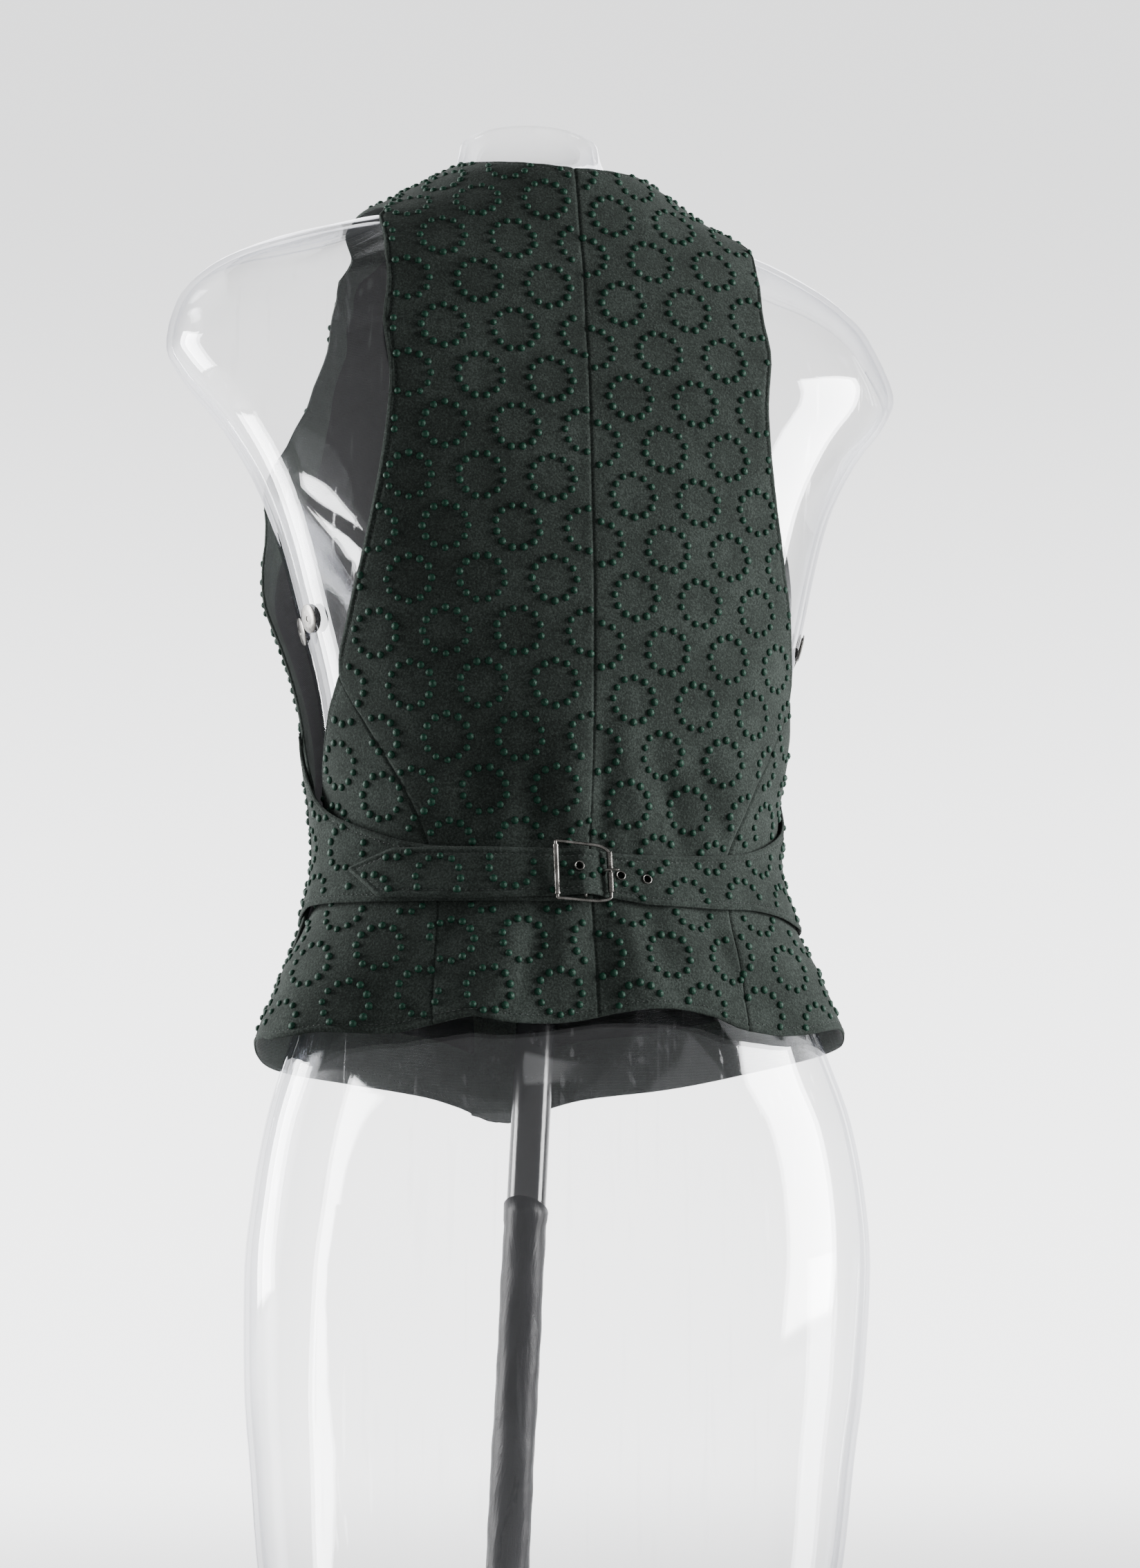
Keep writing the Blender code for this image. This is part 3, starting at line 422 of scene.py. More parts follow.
def nickelLook():
    grain = noise(1400, 2, stretch=(1, 1, 0.08))
    wear = noise(160, 4, 0.6)
    return {"Base Color": ramp(wear, ((0.3, (0.07, 0.067, 0.062)), (0.7, (0.24, 0.232, 0.22)))),
            "Roughness": ramp(wear * 0.6 + grain * 0.4, ((0.35, 0.2), (0.7, 0.4))),
            "Normal": bump(grain, 0.15, 0.0001)}


def shellLook():
    # Rigid clear plastic: each skin mirrors its surroundings over open air, most at a glancing
    # angle by Schlick's curve, the same from both sides of a wall, with dust and fine scratches.
    facing = node("ShaderNodeLayerWeight", {}, {"Blend": 0.5}, 1)
    gloss = facing ** 3.0 * 0.9 + 0.034
    haze = noise(14, 2, 0.6)
    lines = ramp(noise(260, 0, stretch=(1, 1, 0.03)), ((0.74, 0.0), (0.80, 1.0)))
    # The wall is seen edge on at the outline, where its reflection is painted darker: a painted dark rim.
    return {"Base Color": ramp(facing + haze * 0.06, (
                (0.58, (0.95, 0.96, 0.98)), (0.84, (0.36, 0.37, 0.43)), (1.0, (0.20, 0.20, 0.26)))),
            "Roughness": ramp(haze, ((0.35, 0.02), (0.7, 0.06))) + lines * 0.2,
            "Alpha": gloss + haze * 0.006 + lines * 0.05}


def enamelLook():
    dust = noise(420, 4, 0.7)
    rub = noise(26, 5, 0.65, 0.6)
    return {"Base Color": ramp(dust * 0.5 + rub * 0.5,
                               ((0.4, (0.005, 0.005, 0.006)), (0.68, (0.017, 0.017, 0.0195)))),
            "Roughness": ramp(rub, ((0.35, 0.12), (0.7, 0.28))), "Normal": bump(dust, 0.1, 0.0004)}


def filmLook():
    # The dull wrap round the pole's lower stretch.
    grain = noise(700, 4, 0.7)
    rub = noise(34, 5, 0.7, 1.2, stretch=(1, 1, 0.35))
    return {"Base Color": ramp(grain * 0.45 + rub * 0.55,
                               ((0.38, (0.004, 0.004, 0.005)), (0.7, (0.019, 0.0185, 0.021)))),
            "Roughness": ramp(rub, ((0.3, 0.24), (0.7, 0.46))),
            "Normal": bump(rub * 2.0 + grain * 0.3, 0.5, 0.0012)}


def hornLook():
    streaks = noise(180, 4, 0.6, 1.5, stretch=(1, 1, 0.3))
    return {"Base Color": ramp(streaks, ((0.35, (0.012, 0.012, 0.011)), (0.7, (0.06, 0.055, 0.048)))),
            "Roughness": ramp(streaks, ((0.3, 0.25), (0.7, 0.4)))}


felt = newMaterial("napped felt", {
    "Roughness": 0.95, "Specular IOR Level": 0.15, "Sheen Weight": 0.03, "Sheen Roughness": 0.5,
    "Sheen Tint": (0.75, 0.85, 0.8, 1)}, feltLook)
lining = newMaterial("lining", {"Roughness": 0.6, "Specular IOR Level": 0.3, "Sheen Weight": 0.02},
                     liningLook)
thread = newMaterial("green thread", {"Roughness": 0.5, "Specular IOR Level": 0.16}, threadLook)
stitch = newMaterial("sewing thread", {"Roughness": 0.6, "Specular IOR Level": 0.4}, stitchLook)
nickel = newMaterial("nickel", {"Metallic": 1.0, "Specular IOR Level": 0.5}, nickelLook)
clearShell = newMaterial("clear shell", {"Metallic": 1.0}, shellLook)
enamel = newMaterial("black enamel", {"Specular IOR Level": 0.4, "Coat Weight": 0.15,
                                      "Coat Roughness": 0.12}, enamelLook)
film = newMaterial("pole wrap", {"Specular IOR Level": 0.14}, filmLook)
horn = newMaterial("horn", {"Specular IOR Level": 0.55, "Coat Weight": 0.3}, hornLook)
print("materials made")


def linked(name, data):
    thing = bpy.data.objects.new(name, data)
    bpy.context.scene.collection.objects.link(thing)
    return thing


def handOver(piece, slot, replaced):
    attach(piece, "root")
    if replaced:
        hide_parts(*replaced)
    return piece


def newPiece(name, points, faces, materials, slot, replaced=()):
    mesh = bpy.data.meshes.new(name)
    mesh.from_pydata([tuple(p) for p in points], [], faces)
    mesh.update()
    for material in materials:
        mesh.materials.append(material)
    piece = linked(name, mesh)
    mesh.shade_smooth()
    return handOver(piece, slot, replaced)


def gridFaces(rows, columns, first=0, wrap=False, turned=False):
    made = []
    for r in range(rows - 1):
        for c in range(columns if wrap else columns - 1):
            n = (c + 1) % columns
            face = (first + r * columns + c, first + r * columns + n,
                    first + (r + 1) * columns + n, first + (r + 1) * columns + c)
            made.append(face[::-1] if turned else face)
    return made


# How a cut piece is finished: fine rows of points near an edge shape its roll and stitched groove.
sewing = {
    "finePlaces": (0.025, 0.06, 0.1, 0.15, 0.2, 0.26, 0.32, 0.38, 0.44, 0.52, 0.62, 0.78),
    "perCell": 4, "roll": 0.75, "rollWidth": 0.8, "grooveInset": 3.4, "grooveWidth": 0.9,
    "grooveDepth": 0.6, "seamDrop": 0.7, "seamWidth": 0.9, "stitchPitch": 3.0, "stitchLength": 2.1,
    "ripple": 0.16, "turnUnder": 0.45, "bulge": 0.35, "far": 1e3,
}


def fineStops(cells):
    fine = np.array(sewing["finePlaces"])
    inner = np.linspace(1, cells - 1, (cells - 2) * sewing["perCell"] + 1)
    return np.concatenate([[0], fine, inner, cells - fine[::-1], [cells]])


def resample(grid):
    rows, columns = grid.shape[:2]
    rowAt, columnAt = fineStops(rows - 1), fineStops(columns - 1)
    wide = np.stack([np.stack([smoothCurve(np.arange(columns), grid[r, :, k])(columnAt)
                               for k in (0, 1)], -1) for r in range(rows)])
    tall = np.stack([np.stack([smoothCurve(np.arange(rows), wide[:, c, k])(rowAt)
                               for k in (0, 1)], -1) for c in range(wide.shape[1])], 1)
    return tall, rowAt, columnAt


def edgeRuns(points):
    # Distance from each border, along the grid's own lines: bottom, top, start, end.
    down = np.linalg.norm(np.diff(points, axis=0), axis=-1)
    across = np.linalg.norm(np.diff(points, axis=1), axis=-1)
    zeroRow, zeroColumn = np.zeros((1, points.shape[1])), np.zeros((points.shape[0], 1))
    bottom = np.concatenate([zeroRow, np.cumsum(down, 0)])
    start = np.concatenate([zeroColumn, np.cumsum(across, 1)], 1)
    return bottom, bottom[-1:] - bottom, start, start[:, -1:] - start


def nearEdge(distance, width):
    return np.exp(-(distance / width) ** 2)


def sewPiece(name, grid, layer, wall, sewn, replaced, cut, creased=1.0):
    # sewn: for bottom, top, start and end, the share of that border from its beginning that is a
    # seam, or from its end where it is below zero.
    fine, rowAt, columnAt = resample(grid)
    angle, height = fine[..., 0], fine[..., 1]
    normal = outward(angle, height, 1)
    creases = creaseDrop(angle, height) * creased
    inner = clothPoint(angle, height, layer(angle, height)) - normal * creases[..., None]
    far = sewing["far"]
    free, seam = np.full(angle.shape, far), np.full(angle.shape, far)
    rowShare = (rowAt / rowAt[-1])[:, None] + 0 * angle
    columnShare = (columnAt / columnAt[-1])[None, :] + 0 * angle
    shares = (columnShare, columnShare, rowShare, rowShare)
    for run, share, limit in zip(edgeRuns(inner), shares, sewn):
        isSeam = share <= limit if limit >= 0 else share > 1 + limit
        free = np.minimum(free, np.where(isSeam, far, run))
        seam = np.minimum(seam, np.where(isSeam, run, far))
    drop = (sewing["roll"] * nearEdge(free, sewing["rollWidth"])
            + sewing["grooveDepth"] * nearEdge(free - sewing["grooveInset"], sewing["grooveWidth"])
            + sewing["seamDrop"] * nearEdge(seam, sewing["seamWidth"]))
    x, z = inner[..., 0], inner[..., 2]
    ripple = sewing["ripple"] * np.sin(x * 0.31 + np.sin(z * 0.13) * 2) * np.sin(
        z * 0.27 + np.sin(x * 0.17) * 2)
    outer = inner + normal * (wall - drop + ripple)[..., None]
    under = inner + normal * (sewing["turnUnder"] * nearEdge(free, sewing["rollWidth"]))[..., None]
    rows, columns = angle.shape
    count = rows * columns
    # A column of points half way through the wall rounds each border.
    border = ([(r, 0) for r in range(rows)] + [(rows - 1, c) for c in range(1, columns)]
              + [(r, columns - 1) for r in range(rows - 2, -1, -1)]
              + [(0, c) for c in range(columns - 2, 0, -1)])
    middle = []
    for r, c in border:
        inward = np.zeros(3)
        if c in (0, columns - 1):
            inward += unit(inner[r, 1] - inner[r, 0] if c == 0 else inner[r, -2] - inner[r, -1])
        if r in (0, rows - 1):
            inward += unit(inner[1, c] - inner[0, c] if r == 0 else inner[-2, c] - inner[-1, c])
        bulge = sewing["bulge"] if free[r, c] < 0.01 else 0.0
        middle.append((outer[r, c] + under[r, c]) / 2 - inward * bulge)
    points = np.concatenate([outer.reshape(-1, 3), under.reshape(-1, 3), np.array(middle)])
    r, c = rows // 2, columns // 2
    across, up = outer[r, c + 1] - outer[r, c], outer[r + 1, c] - outer[r, c]
    turned = np.dot(np.cross(across, up), normal[r, c]) < 0
    front = gridFaces(rows, columns, turned=turned)
    faces = front + gridFaces(rows, columns, count, turned=not turned)
    ring = len(border)
    for i in range(ring):
        j = (i + 1) % ring
        a, b = border[i][0] * columns + border[i][1], border[j][0] * columns + border[j][1]
        near, ahead = 2 * count + i, 2 * count + j
        for face in ((a, b, ahead, near), (near, ahead, count + b, count + a)):
            faces.append(face[::-1] if turned else face)
    piece = newPiece(name, toWorld(points), faces, [felt, lining], "felt", replaced)
    outerFaces = len(front)
    slots = np.zeros(len(faces), int)
    slots[outerFaces:2 * outerFaces] = 1
    piece.data.polygons.foreach_set("material_index", slots)
    edge = piece.data.attributes.new("edgeDistance", "FLOAT", "POINT")
    deep = np.minimum(free, 200).ravel()
    edge.data.foreach_set("value", np.concatenate([deep, deep, np.zeros(ring)]).astype(np.float32))
    flat, area = cutSizes[cut]
    surface = BVHTree.FromPolygons(outer.reshape(-1, 3).tolist(), front)
    return {"piece": piece, "outer": outer, "free": free, "seam": seam, "tree": surface, "normal": normal}


def backGrid(side):
    columns, armholeRows, shoulderColumns = 12, 12, 4
    hem = hemLine(90, sideAngle(side, cuts["sideBackSeam"][0][0]), columns)
    top = joined(through(outline(side, "backNeck"), columns - shoulderColumns),
                 through(outline(side, "shoulder"), shoulderColumns))
    outer = joined(atHeights(outline(side, "sideBackSeam"), hem[-1], cuts["waistRows"]),
                   through(outline(side, "backArmhole"), armholeRows))
    spine = ((90, hem[0][1]), (90, cuts["backNeck"][0][1]))
    centre = joined(atHeights(spine, hem[0], cuts["waistRows"]),
                    through(((90, cuts["waistRows"][-1]), spine[1]), armholeRows))
    return relax(patch(hem, top, centre, outer))


def sideBackGrid(side):
    columns = 7
    hem = hemLine(sideAngle(side, cuts["sideBackSeam"][0][0]), sideAngle(side, cuts["sideSeam"]), columns)
    top = through(outline(side, "sideArmhole"), columns)
    inner = atHeights(outline(side, "sideBackSeam"), hem[0], cuts["waistRows"])
    outer = atHeights((hem[-1], top[-1]), hem[-1], cuts["sideRows"])
    return relax(patch(hem, top, inner, outer))


def frontGrid(side):
    columns, armholeRows, shoulderColumns = 13, 15, 4
    front = -90 if side == "left" else 270
    lap = cuts["overlap"] / body["degree"] * (-1 if side == "left" else 1)
    hem = hemLine(front + lap, sideAngle(side, cuts["sideSeam"]), columns)
    top = joined(through(outline(side, "frontNeck"), columns - shoulderColumns),
                 through(outline(side, "shoulder"), shoulderColumns))
    top[0] += (lap, 0)
    seam = (hem[-1], outline(side, "frontArmhole")[0])
    outer = joined(atHeights(seam, hem[-1], cuts["frontRows"]),
                   through(outline(side, "frontArmhole"), armholeRows))
    centre = through((hem[0], top[0]), len(cuts["frontRows"]) + armholeRows)
    return relax(patch(hem, top, centre, outer))


def noLayer(angle, height):
    return 0 * angle


def frontLayer(side):
    def layer(angle, height):
        out = sideGape(angle, height)
        if side == "right":
            past = ((270 - angle) * body["degree"] - cuts["lapFlat"]) / cuts["lapRamp"]
            out = out + cuts["lapRise"] * np.clip(1 - past, 0, 1)
        return out
    return layer


# The flat sizes that each piece was cut to, in metres, and its area without the waste.
cutSizes = {
    "back": ((0.160, 0.530), 0.0600), "side_back": ((0.110, 0.205), 0.0150),
    "front": ((0.265, 0.630), 0.0890), "beltLeft": ((0.190, 0.112), 0.0082),
    "beltRight": ((0.345, 0.115), 0.0126),
}
panels = {}
for side in ("left", "right"):
    for cut, grid, layer, sewn in (
            ("back", backGrid, noLayer, (0, -4 / 12, 1, 9 / 21)),
            ("side_back", sideBackGrid, noLayer, (0, 0, 1, 1)),
            ("front", frontGrid, frontLayer(side), (0, -4 / 13, 0, 9 / 24))):
        panels[cut + "_" + side] = sewPiece(
            cut + "_panel_" + side, grid(side), layer, cloth["wall"], sewn, [cut + "_" + side], cut)
print("panels made")

belt = {
    "holeRadius": 2.05,
    "leftTop": (
        (-9.5, 74), (-8, 62), (-4.5, 50), (0, 41), (6, 30), (13, 22.5), (25, 14), (33, 9), (42, 4),
        (52, 1), (64, 0), (76, 0), (89.8, 0)),
    "leftBottom": ((-14, -38), (-4, -34), (6, -30.5), (20, -30), (40, -30), (60, -30), (89.8, -29)),
    "rightTop": (
        (189.5, 74), (188, 62), (184.5, 50), (180, 41), (174, 31), (167, 24), (155, 15), (146, 9),
        (136, 4), (124, 1), (112, -1), (103, -1.8), (97, -1.8), (93, -1.0), (86, -0.4), (80, -0.4),
        (60, 0), (38.5, 0)),
    "rightBottom": (
        (194, -40), (184, -38), (172, -36.5), (160, -35), (148, -31), (134, -29), (120, -30),
        (104, -30), (99, -28.6), (95, -27.2), (90, -26.8), (86, -27), (80, -27.6), (60, -29.6),
        (37, -28.6)),
    "tip": (23.5, -12), "bar": 87.9,
    # angle, and how much the strap rises above the layer it lies on
    "rise": ((0, 2.7), (82, 2.7), (85, 4.2), (87.5, 5.6), (90, 4.6), (93.5, 0.3), (95, 0), (360, 0)),
    "eyelets": ((86.4, -12.0), (96.9, -15.0), (103.5, -16.5)), "prongHole": (92.0, -14.0),
}
strapRise = columnCurves(belt["rise"])[0]


def beltEnd(angle):
    # Each half belt settles on to the front where it is sewn in at its side.
    away = np.minimum(np.abs(angle + 14), np.abs(angle - 194))
    return 1.15 * np.clip(1 - (away - 8) / 10, 0, 1)


def beltLayer(angle, height):
    return sideGape(angle, height) + cloth["beltLayer"] - beltEnd(angle)


def strapLayer(angle):
    # Without the gape: the rise over the buckle's parts.
    return cloth["beltLayer"] + strapRise(angle)


def fullStrapLayer(angle, height):
    return sideGape(angle, height) + strapLayer(angle) - beltEnd(angle)


def leftBeltGrid():
    columns, rows = 26, 3
    bottom, top = through(belt["leftBottom"], columns), through(belt["leftTop"], columns)
    return patch(bottom, top, through((bottom[0], top[0]), rows), through((bottom[-1], top[-1]), rows))


def rightBeltGrid():
    wide, buckle, plain, point, rows = 24, 18, 14, 3, 3

    def edge(points):
        far = [p for p in points if p[0] >= 97]
        near = [p for p in points if 80 <= p[0] <= 97]
        rest = [p for p in points if p[0] <= 80]
        return joined(through(far, wide), through(near, buckle), through(rest, plain))

    top, bottom = edge(belt["rightTop"]), edge(belt["rightBottom"])
    share = np.linspace(0, 1, point + 1)[1:, None]
    tip = np.array(belt["tip"])
    top = np.concatenate([top, top[-1] * (1 - share) + (tip + (0, 0.8)) * share])
    bottom = np.concatenate([bottom, bottom[-1] * (1 - share) + (tip - (0, 0.8)) * share])
    return patch(bottom, top, through((bottom[0], top[0]), rows), through((bottom[-1], top[-1]), rows))


panels["beltLeft"] = sewPiece(
    "half_belt_piece_left", leftBeltGrid(), beltLayer, cloth["beltWall"], (0, 0, 1, 0),
    ["half_belt_left"], "beltLeft", 0.2)
panels["beltRight"] = sewPiece(
    "half_belt_piece_right", rightBeltGrid(), fullStrapLayer, cloth["beltWall"], (0, 0, 1, 0),
    ["half_belt_right"], "beltRight", 0.2)
print("belts made")


def strapPoint(angle, height, out=0.0):
    angle, height = arrays(angle, height)
    return clothPoint(angle, height, fullStrapLayer(angle, height) + out)


def strapFrame(angle, height, out):
    def at(a, h):
        return Vector(toWorld(strapPoint(a, h)))

    place = at(angle, height)
    along = at(angle - 0.5, height) - at(angle + 0.5, height)
    up = (at(angle, height + 0.5) - at(angle, height - 0.5)).normalized()
    normal = along.cross(up).normalized()
    if normal.y < 0:
        normal = -normal
    across = up.cross(normal).normalized()
    turned = Matrix((across, up, normal)).transposed().to_4x4()
    return Matrix.Translation(place + normal * out * mm) @ turned


def choose(thing):
    bpy.ops.object.select_all(action="DESELECT")
    thing.select_set(True)
    bpy.context.view_layer.objects.active = thing


def settle(thing, name, material, slot, replaced):
    # Apply modifiers and place, name the piece and hand it to the frame.
    choose(thing)
    for modifier in list(thing.modifiers):
        bpy.ops.object.modifier_apply(modifier=modifier.name)
    bpy.ops.object.transform_apply(location=True, rotation=True, scale=True)
    thing.name = name
    thing.data.name = name
    thing.data.materials.clear()
    thing.data.materials.append(material)
    return handOver(thing, slot, replaced)


def drill(piece, place, radius, turns):
    # A round hole through a piece, by a cylinder as long as a finger is wide.
    bpy.ops.object.select_all(action="DESELECT")
    bpy.ops.mesh.primitive_cylinder_add(vertices=turns, radius=radius * mm, depth=0.016)
    cutter = bpy.context.object
    cutter.matrix_world = place
    hole = piece.modifiers.new("Hole", "BOOLEAN")
    hole.operation, hole.object, hole.solver = "DIFFERENCE", cutter, "EXACT"
    choose(piece)
    bpy.ops.object.modifier_apply(modifier=hole.name)
    bpy.data.objects.remove(cutter, do_unlink=True)


for angle, height in [*belt["eyelets"], belt["prongHole"]]:
    drill(panels["beltRight"]["piece"], strapFrame(angle, height, cloth["beltWall"] / 2),
          belt["holeRadius"], 32)
print("strap holes cut")

# Rings of raised dots: a plain staggered repeat set out in cloth millimetres on each cut piece.
rings = {
    "across": 39.0, "down": 28.5, "radius": 12.1, "perRing": 12, "dot": 2.0, "rise": 1.7,
    "sides": 8, "edgeRoom": 3.0, "seamRoom": 1.2,
    # each dot's levels: height and share of its width
    "profile": ((-0.5, 0.96), (0.45, 1.0), (1.15, 0.72)),
}


def dotMesh(name, places, normals, turns):
    sides = rings["sides"]
    points, faces = [], []
    for place, normal, turn in zip(places, normals, turns):
        side = unit(np.cross(normal, (0, 0, 1.0)))
        up = np.cross(side, normal)
        size = 1 + 0.09 * math.sin(turn * 37)
        first = len(points)
        for level, width in rings["profile"]:
            for k in range(sides):
                a = 2 * math.pi * k / sides + turn
                out = rings["dot"] * size * width
                points.append(place + side * out * math.cos(a) + up * out * math.sin(a) + normal * level)
        points.append(place + normal * rings["rise"])
        for ring in range(2):
            for k in range(sides):
                n = (k + 1) % sides
                a, b = first + ring * sides + k, first + ring * sides + n
                faces.append((a, a + sides, b + sides, b))
        top = first + 2 * sides
        faces += [(top + k, first + 3 * sides, top + (k + 1) % sides) for k in range(sides)]
        faces.append(tuple(first + k for k in range(sides)))
    return newPiece(name, toWorld(points), faces, [thread], "felt")


def editAll(thing):
    choose(thing)
    bpy.ops.object.mode_set(mode="EDIT")
    bpy.ops.mesh.select_all(action="SELECT")


def orient(thing, weld=0.0):
    # Turn a closed mesh right side out, its doubled points welded first.
    editAll(thing)
    if weld:
        bpy.ops.mesh.remove_doubles(threshold=weld)
    bpy.ops.mesh.normals_make_consistent(inside=False)
    bpy.ops.object.mode_set(mode="OBJECT")


def flatten(panel, isBelt):
    # Unwrap a cut piece to its flat cloth: millimetres across from its seam and up from its foot.
    rows, columns = panel["free"].shape
    triangles = []
    for a, b, c, d in gridFaces(rows, columns):
        triangles += [(a, b, c), (a, c, d)]
    mesh = bpy.data.meshes.new("flat")
    mesh.from_pydata(panel["outer"].reshape(-1, 3).tolist(), [], triangles)
    mesh.update()
    spread = linked("flat", mesh)
    editAll(spread)
    bpy.ops.uv.unwrap(method="ANGLE_BASED", margin=0)
    bpy.ops.object.mode_set(mode="OBJECT")
    corners, places = np.zeros(len(mesh.loops), int), np.zeros(len(mesh.loops) * 2)
    mesh.loops.foreach_get("vertex_index", corners)
    mesh.uv_layers.active.data.foreach_get("uv", places)
    flat = np.zeros((rows * columns, 3))
    flat[corners, :2] = places.reshape(-1, 2)
    bpy.data.objects.remove(spread, do_unlink=True)
    bpy.data.meshes.remove(mesh)

    def area(points):
        first, second, third = (points[np.array(triangles)[:, k]] for k in range(3))
        return np.linalg.norm(np.cross(second - first, third - first), axis=1).sum()

    flat *= math.sqrt(area(panel["outer"].reshape(-1, 3)) / area(flat))
    grid = flat.reshape(rows, columns, 3)
    if isBelt:
        start, end, beyond = grid[rows // 2, 0], grid[rows // 2, -1], grid[-1, columns // 2]
    else:
        start, end, beyond = grid[rows // 5, 0], grid[rows * 4 // 5, 0], grid[rows // 2, columns // 2]
    main = unit(end - start)
    other = np.array((-main[1], main[0], 0))
    if np.dot(beyond - start, other) < 0:
        other = -other
    axes = (main, other, np.zeros(3)) if isBelt else (other, main, np.zeros(3))
    return (flat - grid[0, 0]) @ np.stack(axes, 1), triangles


def ringSpots(low, high, offset):
    # Every dot of the staggered repeat over the flat cloth from low to high, and its turn.
    firstRow, lastRow = (int((v - offset[1]) / rings["down"]) for v in (low[1], high[1]))
    for row in range(firstRow - 1, lastRow + 2):
        shift = offset[0] + (rings["across"] / 2 if row % 2 else 0)
        first, last = (int((u - shift) / rings["across"]) for u in (low[0], high[0]))
        for k in range(first - 1, last + 2):
            x, y = shift + k * rings["across"], offset[1] + row * rings["down"]
            number = row * 31 + k * 7
            for dot in range(rings["perRing"]):
                turn = 2 * math.pi * (dot + 0.5 * (number % 2)) / rings["perRing"]
                spread = rings["radius"] * (1 + 0.02 * math.sin(number * 7.3 + dot * 2.1))
                yield Vector((x + spread * math.cos(turn), y + spread * math.sin(turn), 0)), turn + number


def addDots(panel, name, offset, covers=(), isBelt=False):
    # Each dot goes from the flat cloth to the worn one, unless an edge, a seam or a belt is there.
    level, triangles = flatten(panel, isBelt)
    outer, facings = panel["outer"].reshape(-1, 3), panel["normal"].reshape(-1, 3)
    tree = BVHTree.FromPolygons(level.tolist(), triangles)
    free, seam = panel["free"].ravel(), panel["seam"].ravel()
    places, normals, turns = [], [], []
    for spot, turn in ringSpots(level.min(0) - rings["radius"], level.max(0) + rings["radius"], offset):
        near, _, face, _ = tree.find_nearest(spot, 0.05)
        if near is None:
            continue
        corners = triangles[face]
        nearest = min(corners, key=lambda c: (Vector(level[c]) - spot).length)
        if free[nearest] < rings["edgeRoom"] or seam[nearest] < rings["seamRoom"]:
            continue
        solid = [Vector(outer[c]) for c in corners]
        place = barycentric_transform(spot, *(Vector(level[c]) for c in corners), *solid)
        facing = (solid[1] - solid[0]).cross(solid[2] - solid[0]).normalized()
        if facing.dot(Vector(facings[corners[0]])) < 0:
            facing = -facing
        if any(cover.find_nearest(place + facing * 0.8, 2.6)[0] is not None for cover in covers):
            continue
        places.append(np.array(place))
        normals.append(np.array(facing))
        turns.append(turn)
    piece = dotMesh(name, places, normals, turns)
    orient(piece)
    print(name, len(places), "dots")


strapTree = panels["beltRight"]["tree"]
bothBelts = (strapTree, panels["beltLeft"]["tree"])
for key, start in (("back_left", (21.5, 12)), ("back_right", (24, 5)), ("side_back_left", (4, 18)),
                   ("front_left", (20, 6)), ("side_back_right", (10, 12)), ("front_right", (20, 6))):
    addDots(panels[key], "dots_" + key, start, bothBelts)
addDots(panels["beltLeft"], "dots_half_belt_left", (17, 15), (strapTree,), True)
addDots(panels["beltRight"], "dots_half_belt_right", (9, 20), (), True)
print("dots set")


def grooveLines(panel):
    # Places along the groove of each free edge, with None where the edge is sewn in.
    outer, free = panel["outer"], panel["free"]
    for tracks, levels in ((outer.transpose(1, 0, 2), free.T), (outer, free)):
        for step in (1, -1):
            line = []
            for i, (track, level) in enumerate(zip(tracks[:, ::step], levels[:, ::step])):
                k = int(np.argmax(level >= sewing["grooveInset"]))
                inside = (level[0] <= 0.01 and 0.02 < i / (len(levels) - 1) < 0.98
                          and sewing["grooveInset"] <= level[k] < 6)
                line.append(track[k] if inside else None)
            yield line + [None]


def stitchRun(run, tree, points, faces):
    # Small slanting stitches, each a low eight-sided grain.
    path = np.array(run)
    lengths = np.concatenate([[0], np.cumsum(np.linalg.norm(np.diff(path, axis=0), axis=1))])
    for at in np.arange(2, lengths[-1] - 2, sewing["stitchPitch"]):
        a, b = (np.array([np.interp(place, lengths, column) for column in path.T])
                for place in (at, at + sewing["stitchLength"]))
        centre = (a + b) / 2
        normal = np.array(tree.find_nearest(Vector(centre))[1])
        side = np.cross(normal, unit(b - a)) * 0.3
        first = len(points)
        points += [a, b, centre + side, centre - side, centre + normal * 0.38, centre - normal * 0.3]
        faces += [(first + i, first + j, first + k) for i, j, k in (
            (0, 2, 4), (2, 1, 4), (1, 3, 4), (3, 0, 4), (2, 0, 5), (1, 2, 5), (3, 1, 5), (0, 3, 5))]


def addStitches():
    points, faces = [], []
    for panel in panels.values():
        for line in grooveLines(panel):
            run = []
            for spot in line:
                if spot is not None:
                    run.append(spot)
                    continue
                if len(run) > 4:
                    stitchRun(run, panel["tree"], points, faces)
                run = []
    piece = newPiece("edge_stitches", toWorld(points), faces, [stitch], "felt")
    orient(piece)
    print("stitches", len(points) // 6)


addStitches()

buckle = {
    "wire": 0.9, "clearance": 1.3, "top": 0.9, "bottom": -30.4, "corner": 2.4, "prong": 0.7,
    "roller": {"angle": 81.0, "radius": 1.6, "top": -0.8, "bottom": -28.6},
    "coil": {"angle": 93.9, "radius": 1.7, "top": -3.6, "bottom": -25.8, "turns": 26},
    "sleeve": ((0.95, 0.0), (1.25, 0.0), (1.5, 0.1), (1.6, 0.35), (1.6, 1.2), (1.42, 1.5), (1.42, 26.3),
               (1.6, 26.6), (1.6, 27.4), (1.5, 27.7), (1.25, 27.8), (0.95, 27.8)),
    "eyelet": (1.9, 2.8, 0.6),  # hole, rim, and how thick the rim is
}


def buckleLevel(angle):
    roller, coil = (strapLayer(rod["angle"]) + cloth["beltWall"] + buckle["clearance"] + rod["radius"]
                    for rod in (buckle["roller"], buckle["coil"]))
    share = (angle - buckle["roller"]["angle"]) / (buckle["coil"]["angle"] - buckle["roller"]["angle"])
    return roller + (coil - roller) * share


